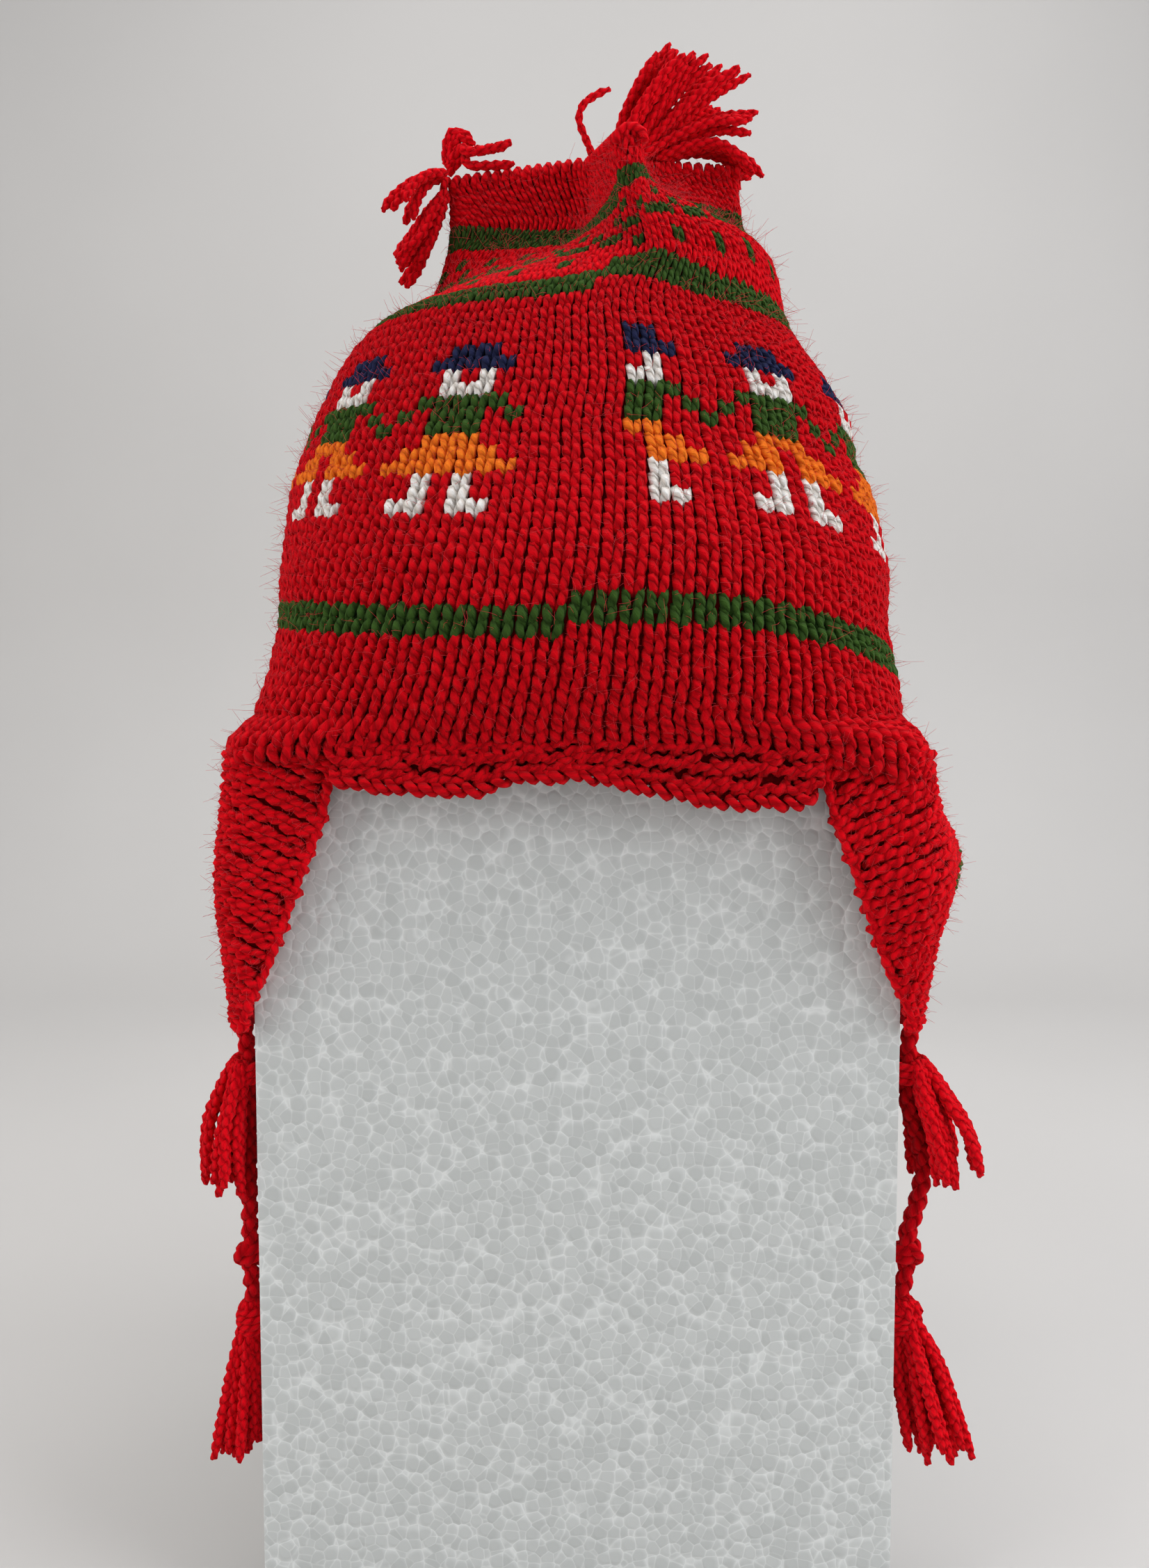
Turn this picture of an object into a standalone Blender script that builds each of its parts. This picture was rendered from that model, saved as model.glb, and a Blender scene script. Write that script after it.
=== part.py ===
"""A knitted chullo hat with ear flaps, tie cords and tassels, on a plain foam block.

Metres, +Z up. The wearer's face looks along -Y, and left means -X. The origin is the
centre of the block's foot, so the hat sits where the block carries it.
"""

import math

import bmesh
import bpy
import numpy as np
from mathutils import Vector

# Clearance between solids that touch
GAP = 0.0003

# Foam block, and how far its rounded end stays inside the knit
STAND_OFF = 0.0009
BLOCK_WIDTH = 0.153
BLOCK_DEPTH = 0.124
BLOCK_HEIGHT = 0.306

# Crown: the knitted tube from the hem to its folded top
WALL = 0.0035
HEM_HEIGHT = 0.2156
CROWN_HEIGHT = 0.1594
HEAD_WIDTH = 0.1638
HEAD_DEPTH = 0.1540
HEM_SIDE_EASE = 0.0034
HEM_FRONT_EASE = 0.0070
HOLLOW_HEIGHT = 0.1360
TOP_SHIFT = 0.0080
CORNER_REACH = 0.0400
CORNER_DROP = 0.0080
SEAM_MIDDLE = 1.5
TIP_START = 0.9
FOLD_PINCH = 0.85

# Border under the hem
BORDER_DEPTH = 0.0100
BORDER_ROLL = 0.0010

# Ear flaps
FLAP_LENGTH = 0.0660
FLAP_WIDTH = 0.0840
FLAP_WALL = 0.0048
FLAP_RISE = 0.0115
FLAP_TURN = 0.0120

# Tie cords and what hangs on them
CORD_DIAMETER = 0.0058
CORD_BACK = 0.0075
CORD_TOP_OVERHANG = 0.0015
KNOT_HEIGHT = 0.0072
KNOT_SWELL = 0.0011
UPPER_TASSEL_TOP = 0.1400
UPPER_TASSEL_LENGTH = 0.0340
LOWER_TASSEL_TOP = 0.0790
LOWER_TASSEL_LENGTH = 0.0410
TASSEL_WIDTH = 0.0105
TASSEL_EASE = 0.0008
TASSEL_SPREAD_DEG = 82.0

# Tassels on the crown
CREST_LENGTH = 0.0360
CREST_PLACE = 0.0100
CREST_LOCK = 0.0042
CORNER_TASSEL_LENGTH = 0.0240
CORNER_LOCK = 0.0034

AROUND = 64

RED = (0.55, 0.008, 0.020)
DEEP_RED = (0.42, 0.006, 0.018)
FOAM = (0.66, 0.66, 0.65)

# Crown sections above the hem. Heights are shares of CROWN_HEIGHT, half widths of half of
# HEAD_WIDTH, half depths of half of HEAD_DEPTH, shifts to the right of TOP_SHIFT. Fold runs
# from 0, a round tube, to 1, the tube folded flat into the four corners of the top seam.
CROWN_COLUMNS = ("height", "half_width", "half_depth", "squareness", "shift", "fold")
CROWN_SECTIONS = (
    (0.040, 1.004, 0.974, 4.20, 0.00, 0.00),
    (0.103, 1.006, 1.000, 3.10, 0.16, 0.00),
    (0.184, 0.991, 1.000, 2.60, 0.18, 0.00),
    (0.279, 1.000, 0.955, 2.40, 0.24, 0.00),
    (0.373, 0.982, 0.870, 2.25, 0.18, 0.00),
    (0.417, 0.969, 0.831, 2.20, 0.14, 0.00),
    (0.467, 0.932, 0.786, 2.15, 0.02, 0.00),
    (0.542, 0.896, 0.730, 2.10, 0.18, 0.00),
    (0.617, 0.819, 0.668, 2.04, 0.10, 0.00),
    (0.655, 0.768, 0.636, 2.02, 0.04, 0.00),
    (0.693, 0.708, 0.605, 2.00, 0.15, 0.02),
    (0.730, 0.641, 0.579, 2.00, 0.54, 0.06),
    (0.768, 0.595, 0.564, 2.00, 0.91, 0.12),
    (0.812, 0.571, 0.553, 2.00, 0.89, 0.22),
    (0.856, 0.546, 0.545, 2.00, 0.79, 0.36),
    (0.906, 0.520, 0.530, 2.00, 0.70, 0.58),
    (0.956, 0.500, 0.510, 2.00, 0.64, 0.82),
    (1.000, 0.480, 0.490, 2.00, 0.60, 1.00),
)

# Corners of the folded top: the way each one points, its reach as a share of CORNER_REACH,
# its drop below the middle as a share of CORNER_DROP, and how late the valley after it closes.
CORNER_COLUMNS = ("angle_deg", "reach", "drop", "lateness")
CORNERS = (
    (-71.0, 0.93, 1.00, 2.2),
    (8.0, 0.86, 0.15, 1.6),
    (98.0, 0.93, 0.50, 1.2),
    (180.0, 1.01, 0.25, 0.7),
)

# Lower edge of the brow border from the left flap to the right one: places along it as
# shares of its length, drops as shares of BORDER_DEPTH.
BORDER_COLUMNS = ("along", "drop")
BROW_EDGE = (
    (0.00, 0.77), (0.18, 1.03), (0.31, 0.97), (0.36, 0.71), (0.51, 0.67),
    (0.65, 0.93), (0.75, 1.25), (0.84, 1.30), (0.96, 1.30), (1.00, 1.08),
)
NAPE_EDGE = ((0.00, 0.90), (0.30, 1.05), (0.50, 0.95), (0.70, 1.05), (1.00, 0.90))

# Border's profile: shares of its drop, then how far it stands out from the hem's outer face
# as a share of BORDER_ROLL, or in from it as a negative share of WALL.
BORDER_PROFILE = (
    (0.08, -1.0), (0.45, -1.0), (0.85, -0.85), (1.0, -0.2), (0.95, 0.75), (0.6, 1.0),
    (0.2, 1.0), (0.0, 0.5), (0.0, -0.6),
)

# Ear flap from the hem down. Down is a share of FLAP_LENGTH. Front and rear edges are shares
# of FLAP_WIDTH from the block's corner. The rises are how far the outer face stands off the
# block, as shares of FLAP_RISE, at the front edge, the block's corner, the side and the rear.
FLAP_COLUMNS = ("down", "front", "rear", "front_rise", "corner_rise", "side_rise", "rear_rise")
FLAP_ROWS = (
    (0.00, 0.320, 0.750, 0.80, 0.45, 0.60, 0.58),
    (0.09, 0.310, 0.735, 0.62, 0.46, 0.72, 0.60),
    (0.20, 0.290, 0.690, 0.52, 0.50, 0.86, 0.62),
    (0.33, 0.255, 0.620, 0.48, 0.56, 0.98, 0.62),
    (0.46, 0.215, 0.535, 0.46, 0.60, 1.02, 0.62),
    (0.58, 0.180, 0.450, 0.46, 0.58, 0.98, 0.60),
    (0.70, 0.145, 0.370, 0.47, 0.54, 0.90, 0.58),
    (0.81, 0.110, 0.300, 0.48, 0.52, 0.80, 0.56),
    (0.91, 0.060, 0.245, 0.50, 0.50, 0.72, 0.54),
    (1.00, 0.000, 0.205, 0.52, 0.52, 0.66, 0.54),
)
FLAP_BULGE = {"left": 0.97, "right": 1.08}

# Tie cords, hand-placed route. Heights are above the floor. Outward offsets are beyond
# the place where the cord just clears the block's side, backward offsets behind the flap's tip.
CORD_COLUMNS = ("height", "outward", "backward")
CORD_ROUTES = {
    "left": ((0.1320, 0.0002, 0.0000), (0.1220, 0.0008, 0.0004), (0.1130, 0.0009, 0.0002),
             (0.1050, 0.0008, -0.0004)),
    "right": ((0.1320, 0.0008, 0.0002), (0.1220, 0.0030, 0.0006), (0.1130, 0.0052, 0.0004),
              (0.1050, 0.0042, -0.0004)),
}
KNOT_CENTRES = {"left": (0.0910, 0.0008, -0.0006), "right": (0.0910, 0.0014, -0.0006)}

# Tassels: down is a share of the tassel's length, widths and outward shifts are shares
# of TASSEL_WIDTH, and reach is how far the outer locks stand out from the cord.
UPPER_TASSEL_COLUMNS = ("down", "reach")
UPPER_TASSELS = {
    "left": ((0.00, 0.44), (0.10, 0.52), (0.35, 0.60), (0.65, 0.66), (1.00, 0.58)),
    "right": ((0.00, 0.48), (0.10, 0.64), (0.35, 0.88), (0.65, 1.00), (1.00, 0.80)),
}
LOWER_TASSEL_COLUMNS = ("down", "half_width", "shift")
LOWER_TASSELS = {
    "left": ((0.00, 0.22, 0.00), (0.04, 0.34, 0.06), (0.12, 0.40, 0.10), (0.17, 0.36, 0.08),
             (0.35, 0.48, 0.20), (0.70, 0.56, 0.30), (1.00, 0.52, 0.32)),
    "right": ((0.00, 0.22, 0.00), (0.04, 0.34, 0.06), (0.12, 0.38, 0.10), (0.17, 0.38, 0.12),
              (0.35, 0.62, 0.45), (0.70, 0.84, 0.75), (1.00, 0.78, 0.80)),
}
LOCK_ENDS = {"left": (1.00, 0.93, 1.04, 0.90, 0.98), "right": (0.88, 1.02, 0.92, 1.00, 0.95)}

# Locks of the crest tassel: lean to the right and to the back in degrees, and length and
# thickness as shares of CREST_LENGTH and CREST_LOCK.
LOCK_COLUMNS = ("lean_right", "lean_back", "length", "thickness")
CREST_LOCKS = (
    (17, 4, 1.00, 1.00),
    (26, -6, 0.98, 0.95),
    (37, 10, 0.94, 1.00),
    (49, -4, 0.94, 0.95),
    (63, 8, 0.92, 0.90),
    (31, 26, 0.88, 0.95),
    (86, 2, 0.96, 0.70),
)
CORNER_TASSEL_LOCKS = (
    (-134, -14, 1.00, 1.00),
    (-149, 12, 0.94, 0.95),
    (-118, -4, 0.82, 0.90),
    (-160, -26, 0.80, 0.84),
)


def table(columns, rows):
    """Rows of a table as dictionaries of its named columns."""
    return [dict(zip(columns, row)) for row in rows]


def read(rows, key, column, at):
    """Value of a column at a place between the rows of a table."""
    return float(np.interp(at, [row[key] for row in rows], [row[column] for row in rows]))


def clear_scene():
    """Remove whatever the scene holds."""
    for item in list(bpy.data.objects):
        bpy.data.objects.remove(item, do_unlink=True)


def make_material(name, colour, roughness):
    """Principled material of one colour."""
    material = bpy.data.materials.new(name)
    material.use_nodes = True
    shader = material.node_tree.nodes["Principled BSDF"]
    shader.inputs["Base Color"].default_value = (*colour, 1.0)
    shader.inputs["Roughness"].default_value = roughness
    shader.inputs["Metallic"].default_value = 0.0
    material.diffuse_color = (*colour, 1.0)
    return material


def add_object(name, mesh, colour, roughness=0.95):
    """Put a mesh into the scene under its own name and material."""
    mesh.materials.append(make_material(name, colour, roughness))
    part = bpy.data.objects.new(name, mesh)
    bpy.context.scene.collection.objects.link(part)
    return part


def bridge(bm, first, second):
    """Quads between two rings of as many vertices."""
    count = len(first)
    for k in range(count):
        following = (k + 1) % count
        bm.faces.new((first[k], first[following], second[following], second[k]))


def finish_mesh(bm, name):
    """Triangulate, turn the faces outwards and give the mesh."""
    bm.normal_update()
    bmesh.ops.triangulate(bm, faces=bm.faces[:], ngon_method="EAR_CLIP")
    bmesh.ops.recalc_face_normals(bm, faces=bm.faces[:])
    if bm.calc_volume(signed=True) < 0.0:
        bmesh.ops.reverse_faces(bm, faces=bm.faces[:])
    mesh = bpy.data.meshes.new(name)
    bm.to_mesh(mesh)
    bm.free()
    mesh.shade_smooth()
    mesh.set_sharp_from_angle(angle=math.radians(50))
    return mesh


def loft(rings, name):
    """Closed solid through rings of points, with a face over each end."""
    bm = bmesh.new()
    levels = [[bm.verts.new(point) for point in ring] for ring in rings]
    for lower, upper in zip(levels, levels[1:]):
        bridge(bm, lower, upper)
    bm.faces.new(levels[0])
    bm.faces.new(levels[-1])
    return finish_mesh(bm, name)


def superellipse(angle, half_width, half_depth, squareness):
    """Point of a rounded section, from an ellipse at 2 to a rectangle at large values."""
    power = 2.0 / squareness
    across, along = math.cos(angle), math.sin(angle)
    return (
        math.copysign(half_width * abs(across) ** power, across),
        math.copysign(half_depth * abs(along) ** power, along),
    )


def solve_rising(function, low, high):
    """Root of a rising function by halving."""
    for _ in range(40):
        middle = (low + high) / 2
        low, high = (low, middle) if function(middle) > 0 else (middle, high)
    return (low + high) / 2


def hem_section():
    """Hem section, just square enough to pass round the block's corners."""
    half_width = BLOCK_WIDTH / 2 + WALL + HEM_SIDE_EASE
    half_depth = BLOCK_DEPTH / 2 + WALL + HEM_FRONT_EASE
    x_share = (BLOCK_WIDTH / 2 + GAP) / (half_width - WALL)
    y_share = (BLOCK_DEPTH / 2 + GAP) / (half_depth - WALL)
    squareness = solve_rising(lambda n: 1.0 - x_share**n - y_share**n, 2.0, 60.0)
    return {"height": 0.0, "half_width": half_width, "half_depth": half_depth,
            "squareness": squareness, "shift": 0.0, "fold": 0.0}


def crown_sections():
    """Crown sections in metres, the hem first."""
    sections = [hem_section()]
    for row in table(CROWN_COLUMNS, CROWN_SECTIONS):
        sections.append({
            "height": row["height"] * CROWN_HEIGHT,
            "half_width": row["half_width"] * HEAD_WIDTH / 2,
            "half_depth": row["half_depth"] * HEAD_DEPTH / 2,
            "squareness": row["squareness"],
            "shift": row["shift"] * TOP_SHIFT,
            "fold": row["fold"],
        })
    return sections


SECTIONS = crown_sections()
CORNER_ROWS = table(CORNER_COLUMNS, CORNERS)


def section_at(height):
    """Crown section at a height above the hem."""
    return {column: read(SECTIONS, "height", column, height) for column in CROWN_COLUMNS}


def star_point(angle, centre_x, inward):
    """Point of the folded top seam for a direction, with its drop and the valley's lateness."""
    turn = 2 * math.pi
    tips = [math.radians(row["angle_deg"]) for row in CORNER_ROWS]
    for k, row in enumerate(CORNER_ROWS):
        following = CORNER_ROWS[(k + 1) % len(CORNER_ROWS)]
        span = (tips[(k + 1) % len(tips)] - tips[k]) % turn
        share = ((angle - tips[k]) % turn) / span
        if share <= 1.0:
            break
    tip_angle, tip = (tips[k], row) if share < 0.5 else (tips[k] + span, following)
    along = abs(1.0 - 2.0 * share)
    side = 1.0 if share < 0.5 else -1.0
    into_tip = max(0.0, along - TIP_START) / (1.0 - TIP_START)
    rounding = math.sqrt(max(0.0, 1.0 - into_tip * into_tip))
    middle_reach = WALL * SEAM_MIDDLE
    reach = middle_reach + along * (tip["reach"] * CORNER_REACH - middle_reach) - inward
    outwards = Vector((math.cos(tip_angle), math.sin(tip_angle)))
    sideways = Vector((-outwards.y, outwards.x)) * side * (WALL * rounding - inward * FOLD_PINCH)
    place = Vector((centre_x, 0.0)) + outwards * reach + sideways
    return place, along * tip["drop"], row["lateness"]


def crown_point(angle, height, inward=0.0):
    """Point of the crown at a turn round it and a height above the hem."""
    section = section_at(height)
    x, y = superellipse(angle, section["half_width"] - inward, section["half_depth"] - inward,
                        section["squareness"])
    round_place = Vector((x + section["shift"], y))
    star_place, drop, lateness = star_point(angle, section["shift"], inward)
    place = round_place.lerp(star_place, section["fold"] ** lateness)
    return Vector((*place, HEM_HEIGHT + height - section["fold"] * drop * CORNER_DROP))


def section_reach(angle, height, inward):
    """Distance from the block's axis to the crown's inner face in a direction."""
    section = section_at(height)
    half_width = section["half_width"] - inward
    half_depth = section["half_depth"] - inward
    power = section["squareness"]

    def outside(distance):
        x = abs(distance * math.cos(angle) - section["shift"]) / half_width
        y = abs(distance * math.sin(angle)) / half_depth
        return x**power + y**power - 1.0

    return solve_rising(outside, 0.0, BLOCK_WIDTH + HEAD_WIDTH)


def block_reach(angle):
    """Distance from the axis to the block's straight sides in a direction."""
    across = BLOCK_WIDTH / 2 / max(abs(math.cos(angle)), 1e-9)
    along = BLOCK_DEPTH / 2 / max(abs(math.sin(angle)), 1e-9)
    return min(across, along)


def block_angles():
    """Directions round the block, with its four corners among them."""
    corner = math.atan2(BLOCK_DEPTH, BLOCK_WIDTH)
    corners = (corner, math.pi - corner, math.pi + corner, 2 * math.pi - corner)
    per_side = AROUND // 8
    angles = []
    for k, start in enumerate(corners):
        span = (corners[(k + 1) % 4] - start) % (2 * math.pi)
        angles += [start + span * step / per_side for step in range(per_side)]
    return angles


def make_block():
    """Foam block with a square foot, its upper end rounded to fit inside the crown."""
    angles = block_angles()
    top = BLOCK_HEIGHT - HEM_HEIGHT
    heights = [0.0, HEM_HEIGHT - GAP]
    heights += [HEM_HEIGHT + row["height"] for row in SECTIONS[1:] if row["height"] < top]
    heights.append(BLOCK_HEIGHT)
    rings = []
    for height in heights:
        above = height - HEM_HEIGHT
        ring = []
        for angle in angles:
            reach = block_reach(angle)
            if above > 0.0:
                reach = min(reach, section_reach(angle, above, WALL + STAND_OFF))
            ring.append((reach * math.cos(angle), reach * math.sin(angle), height))
        rings.append(ring)
    add_object("foam_block", loft(rings, "foam_block"), FOAM, 0.9)


def make_crown():
    """Hollow crown: a knitted wall that closes in four folded corners."""
    angles = [2 * math.pi * k / AROUND for k in range(AROUND)]
    heights = [row["height"] for row in SECTIONS]
    outer = [[crown_point(angle, height) for angle in angles] for height in heights]
    top = outer[-1]
    centre = Vector((SECTIONS[-1]["shift"], 0.0, HEM_HEIGHT + CROWN_HEIGHT))
    inner_heights = [h for h in heights if h < HOLLOW_HEIGHT] + [HOLLOW_HEIGHT]
    inner = [[crown_point(angle, height, WALL) for angle in angles] for height in inner_heights]

    bm = bmesh.new()
    outer_rings = [[bm.verts.new(point) for point in ring] for ring in outer]
    inner_rings = [[bm.verts.new(point) for point in ring] for ring in inner]
    for rings in (outer_rings, inner_rings):
        for lower, upper in zip(rings, rings[1:]):
            bridge(bm, lower, upper)
    bridge(bm, outer_rings[0], inner_rings[0])
    middle = bm.verts.new(centre + Vector((0.0, 0.0, WALL / 2)))
    for k in range(len(top)):
        bm.faces.new((outer_rings[-1][k], outer_rings[-1][(k + 1) % len(top)], middle))
    bm.faces.new(inner_rings[-1])
    add_object("crown", finish_mesh(bm, "crown"), RED)


def hem_side(angle, outward):
    """Place on the hem, moved out from its outer face, by the direction from the axis."""
    section = SECTIONS[0]
    power = section["squareness"]
    x = abs(math.cos(angle)) / (section["half_width"] + outward)
    y = abs(math.sin(angle)) / (section["half_depth"] + outward)
    reach = (x**power + y**power) ** (-1.0 / power)
    return Vector((reach * math.cos(angle), reach * math.sin(angle), 0.0))


def hem_front(x, outward):
    """Place on the front of the hem, moved out from its outer face, by its distance right."""
    section = SECTIONS[0]
    share = (abs(x) / (section["half_width"] + outward)) ** section["squareness"]
    y = (section["half_depth"] + outward) * (1.0 - share) ** (1.0 / section["squareness"])
    return Vector((x, -y, 0.0))


def make_border(name, start, end, edge, steps, place_on_hem):
    """Rolled border under the hem, from start to end along one stretch of it."""
    rows = table(BORDER_COLUMNS, edge)
    top = HEM_HEIGHT - GAP
    rings = []
    for k in range(steps + 1):
        share = k / steps
        drop = read(rows, "along", "drop", share) * BORDER_DEPTH
        ring = []
        for down, outward in table_pairs(BORDER_PROFILE):
            place = place_on_hem(start + (end - start) * share, outward)
            ring.append((place.x, place.y, top - drop * down))
        rings.append(ring)
    add_object(name, loft(rings, name), DEEP_RED)


def table_pairs(profile):
    """Border profile as drops and distances out from the hem's outer face."""
    return [(down, BORDER_ROLL * out if out > 0 else WALL * out) for down, out in profile]


def wrap(along, rise, side):
    """Point beside the block: along its front face, round its corner and along its side."""
    x, y = BLOCK_WIDTH / 2, -BLOCK_DEPTH / 2
    turn = min(max(along / FLAP_TURN + 0.5, 0.0), 1.0) * math.pi / 2
    x += min(along + FLAP_TURN / 2, 0.0) + rise * math.sin(turn)
    y += max(along - FLAP_TURN / 2, 0.0) - rise * math.cos(turn)
    return Vector((side * x, y, 0.0))


def flap_rise(row, along):
    """How far the flap's outer face stands off the block at a place across it."""
    front, rear = -row["front"] * FLAP_WIDTH, row["rear"] * FLAP_WIDTH
    places = (front, max(0.0, front) + 0.001, (max(0.0, front) + rear) / 2 + 0.001, rear)
    rises = (row["front_rise"], row["corner_rise"], row["side_rise"], row["rear_rise"])
    return float(np.interp(along, places, rises)) * FLAP_RISE


def flap_sides(name):
    """The sign of X on a named side."""
    return -1.0 if name == "left" else 1.0


def make_flap(name):
    """Ear flap: a thick knitted plate bent round the block's front corner."""
    side = flap_sides(name)
    rows = table(FLAP_COLUMNS, FLAP_ROWS)
    across = 16
    rings = []
    for row in rows:
        z = HEM_HEIGHT - GAP - row["down"] * FLAP_LENGTH
        front, rear = -row["front"] * FLAP_WIDTH, row["rear"] * FLAP_WIDTH
        outer, inner = [], []
        for k in range(across + 1):
            along = front + (rear - front) * k / across
            edge = 0.5 if k in (0, across) else 1.0
            rise = flap_rise(row, along) * FLAP_BULGE[name]
            inner_rise = max(rise - FLAP_WALL * (0.5 + edge / 2), GAP * 2)
            outer_rise = max(inner_rise + FLAP_WALL * edge, rise * edge)
            for points, height in ((outer, outer_rise), (inner, inner_rise)):
                place = wrap(along, height, side)
                points.append((place.x, place.y, z))
        rings.append(outer + inner[::-1])
    add_object("flap_" + name, loft(rings, "flap_" + name), RED)


def cord_place(name, height, outward, backward):
    """Point of a tie cord's route, beside the block and under the flap's tip."""
    side = flap_sides(name)
    x = BLOCK_WIDTH / 2 + GAP + CORD_DIAMETER / 2 + outward
    y = -BLOCK_DEPTH / 2 + CORD_BACK + backward
    return Vector((side * x, y, height))


def smooth_route(points, spacing):
    """Evenly spaced points on a smooth curve through a route's own points."""
    ends = [2 * points[0] - points[1], *points, 2 * points[-1] - points[-2]]
    dense = []
    for k in range(1, len(ends) - 2):
        before, start, end, after = ends[k - 1:k + 3]
        for step in range(24):
            t = step / 24
            dense.append(0.5 * (2 * start + (end - before) * t
                                + (2 * before - 5 * start + 4 * end - after) * t * t
                                + (3 * start - before - 3 * end + after) * t**3))
    dense.append(points[-1])
    lengths = np.cumsum([0.0] + [(b - a).length for a, b in zip(dense, dense[1:])])
    count = max(3, round(lengths[-1] / spacing) + 1)
    targets = np.linspace(0.0, lengths[-1], count)
    axes = [np.interp(targets, lengths, [point[k] for point in dense]) for k in range(3)]
    return [Vector(place) for place in zip(*axes)]


def make_cord(name, points):
    """Plain round cord along its route, with filled ends."""
    curve = bpy.data.curves.new(name, "CURVE")
    curve.dimensions = "3D"
    curve.bevel_depth = CORD_DIAMETER / 2
    curve.bevel_resolution = 2
    curve.use_fill_caps = True
    spline = curve.splines.new("POLY")
    spline.points.add(len(points) - 1)
    for slot, point in zip(spline.points, points):
        slot.co = (*point, 1.0)
    curve.materials.append(make_material(name, RED, 0.95))
    cord = bpy.data.objects.new(name, curve)
    bpy.context.scene.collection.objects.link(cord)


def make_tie(name):
    """Tie cord in two stretches, with the knot between them."""
    flap_tip = HEM_HEIGHT - GAP - FLAP_LENGTH
    route = [cord_place(name, *row) for row in CORD_ROUTES[name]]
    knot = cord_place(name, *KNOT_CENTRES[name])
    start = cord_place(name, flap_tip - GAP, CORD_TOP_OVERHANG, 0.0)
    upper_end = knot + Vector((0.0, 0.0, KNOT_HEIGHT / 2 + GAP))
    above_knot = upper_end + Vector((0.0, 0.0, CORD_DIAMETER / 2))
    lower_start = knot - Vector((0.0, 0.0, KNOT_HEIGHT / 2 + GAP))
    end = cord_place(name, LOWER_TASSEL_TOP + GAP, 0.0004, 0.0)
    spacing = CORD_DIAMETER * 0.8
    make_cord("tie_cord_" + name, smooth_route([start, *route, above_knot, upper_end], spacing))
    make_cord("tie_cord_end_" + name, smooth_route([lower_start, end], spacing))

    radius = CORD_DIAMETER / 2
    shape = ((0.0, 0.75), (0.15, 1.0), (0.35, 1.2), (0.6, 1.25), (0.85, 1.05), (1.0, 0.75))
    rings = []
    for up, swell in shape:
        size = radius * min(swell, 1.0) + KNOT_SWELL * max(0.0, swell - 1.0) / 0.25
        lean = flap_sides(name) * (size - radius if size > radius else 0.0)
        z = knot.z + KNOT_HEIGHT * (up - 0.5)
        rings.append([(knot.x + lean + size * math.cos(2 * math.pi * k / 12),
                       knot.y + size * math.sin(2 * math.pi * k / 12), z) for k in range(12)])
    add_object("knot_" + name, loft(rings, "knot_" + name), RED)


def cord_at(name, height):
    """Centre of the upper tie cord at a height."""
    flap_tip = HEM_HEIGHT - GAP - FLAP_LENGTH
    rows = [(flap_tip, CORD_TOP_OVERHANG, 0.0), *CORD_ROUTES[name], KNOT_CENTRES[name]]
    known = table(CORD_COLUMNS, sorted(rows))
    return cord_place(name, height, read(known, "height", "outward", height),
                      read(known, "height", "backward", height))


def make_upper_tassel(name):
    """Tassel whose locks hang round the outer side of the tie cord."""
    side = flap_sides(name)
    rows = table(UPPER_TASSEL_COLUMNS, UPPER_TASSELS[name])
    inside = CORD_DIAMETER / 2 + TASSEL_EASE
    spread = math.radians(TASSEL_SPREAD_DEG)
    steps, locks, levels = 20, len(LOCK_ENDS[name]), 9
    rings = []
    for level in range(levels):
        down = level / (levels - 1)
        width = read(rows, "down", "reach", down)
        outer, inner = [], []
        for k in range(steps + 1):
            share = k / steps
            angle = -spread + 2 * spread * share
            end = LOCK_ENDS[name][min(int(share * locks), locks - 1)]
            drop = down * UPPER_TASSEL_LENGTH * (1.0 + (end - 1.0) * down)
            flute = 1.0 - 0.10 * abs(math.cos(math.pi * share * locks))
            reach = max(inside * 1.25, width * TASSEL_WIDTH * (1.0 + 0.35 * math.cos(angle)))
            centre = cord_at(name, UPPER_TASSEL_TOP - drop)
            for points, radius in ((outer, reach * flute), (inner, inside)):
                points.append((centre.x + side * radius * math.cos(angle),
                               centre.y + radius * math.sin(angle), UPPER_TASSEL_TOP - drop))
        rings.append(outer + inner[::-1])
    label = "tassel_upper_" + name
    add_object(label, loft(rings, label), DEEP_RED)


def make_lower_tassel(name):
    """Tassel at the end of a tie cord: a wound head over a bundle of locks."""
    side = flap_sides(name)
    rows = table(LOWER_TASSEL_COLUMNS, LOWER_TASSELS[name])
    steps, locks = 20, len(LOCK_ENDS[name])
    rings = []
    for row in rows:
        ring = []
        for k in range(steps):
            share = k / steps
            angle = 2 * math.pi * share
            end = LOCK_ENDS[name][int(share * locks)]
            drop = row["down"] * LOWER_TASSEL_LENGTH * (1.0 + (end - 1.0) * row["down"])
            flute = 1.0 - 0.12 * row["down"] * abs(math.cos(math.pi * share * locks))
            size = row["half_width"] * TASSEL_WIDTH * flute
            clear = BLOCK_WIDTH / 2 + 2 * GAP + row["half_width"] * TASSEL_WIDTH
            middle = max(clear, abs(cord_place(name, 0.0, 0.0, 0.0).x) + row["shift"] * TASSEL_WIDTH)
            y = -BLOCK_DEPTH / 2 + CORD_BACK
            ring.append((side * (middle + size * math.cos(angle)), y + size * math.sin(angle),
                         LOWER_TASSEL_TOP - drop))
        rings.append(ring)
    label = "tassel_lower_" + name
    add_object(label, loft(rings, label), DEEP_RED)


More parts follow.
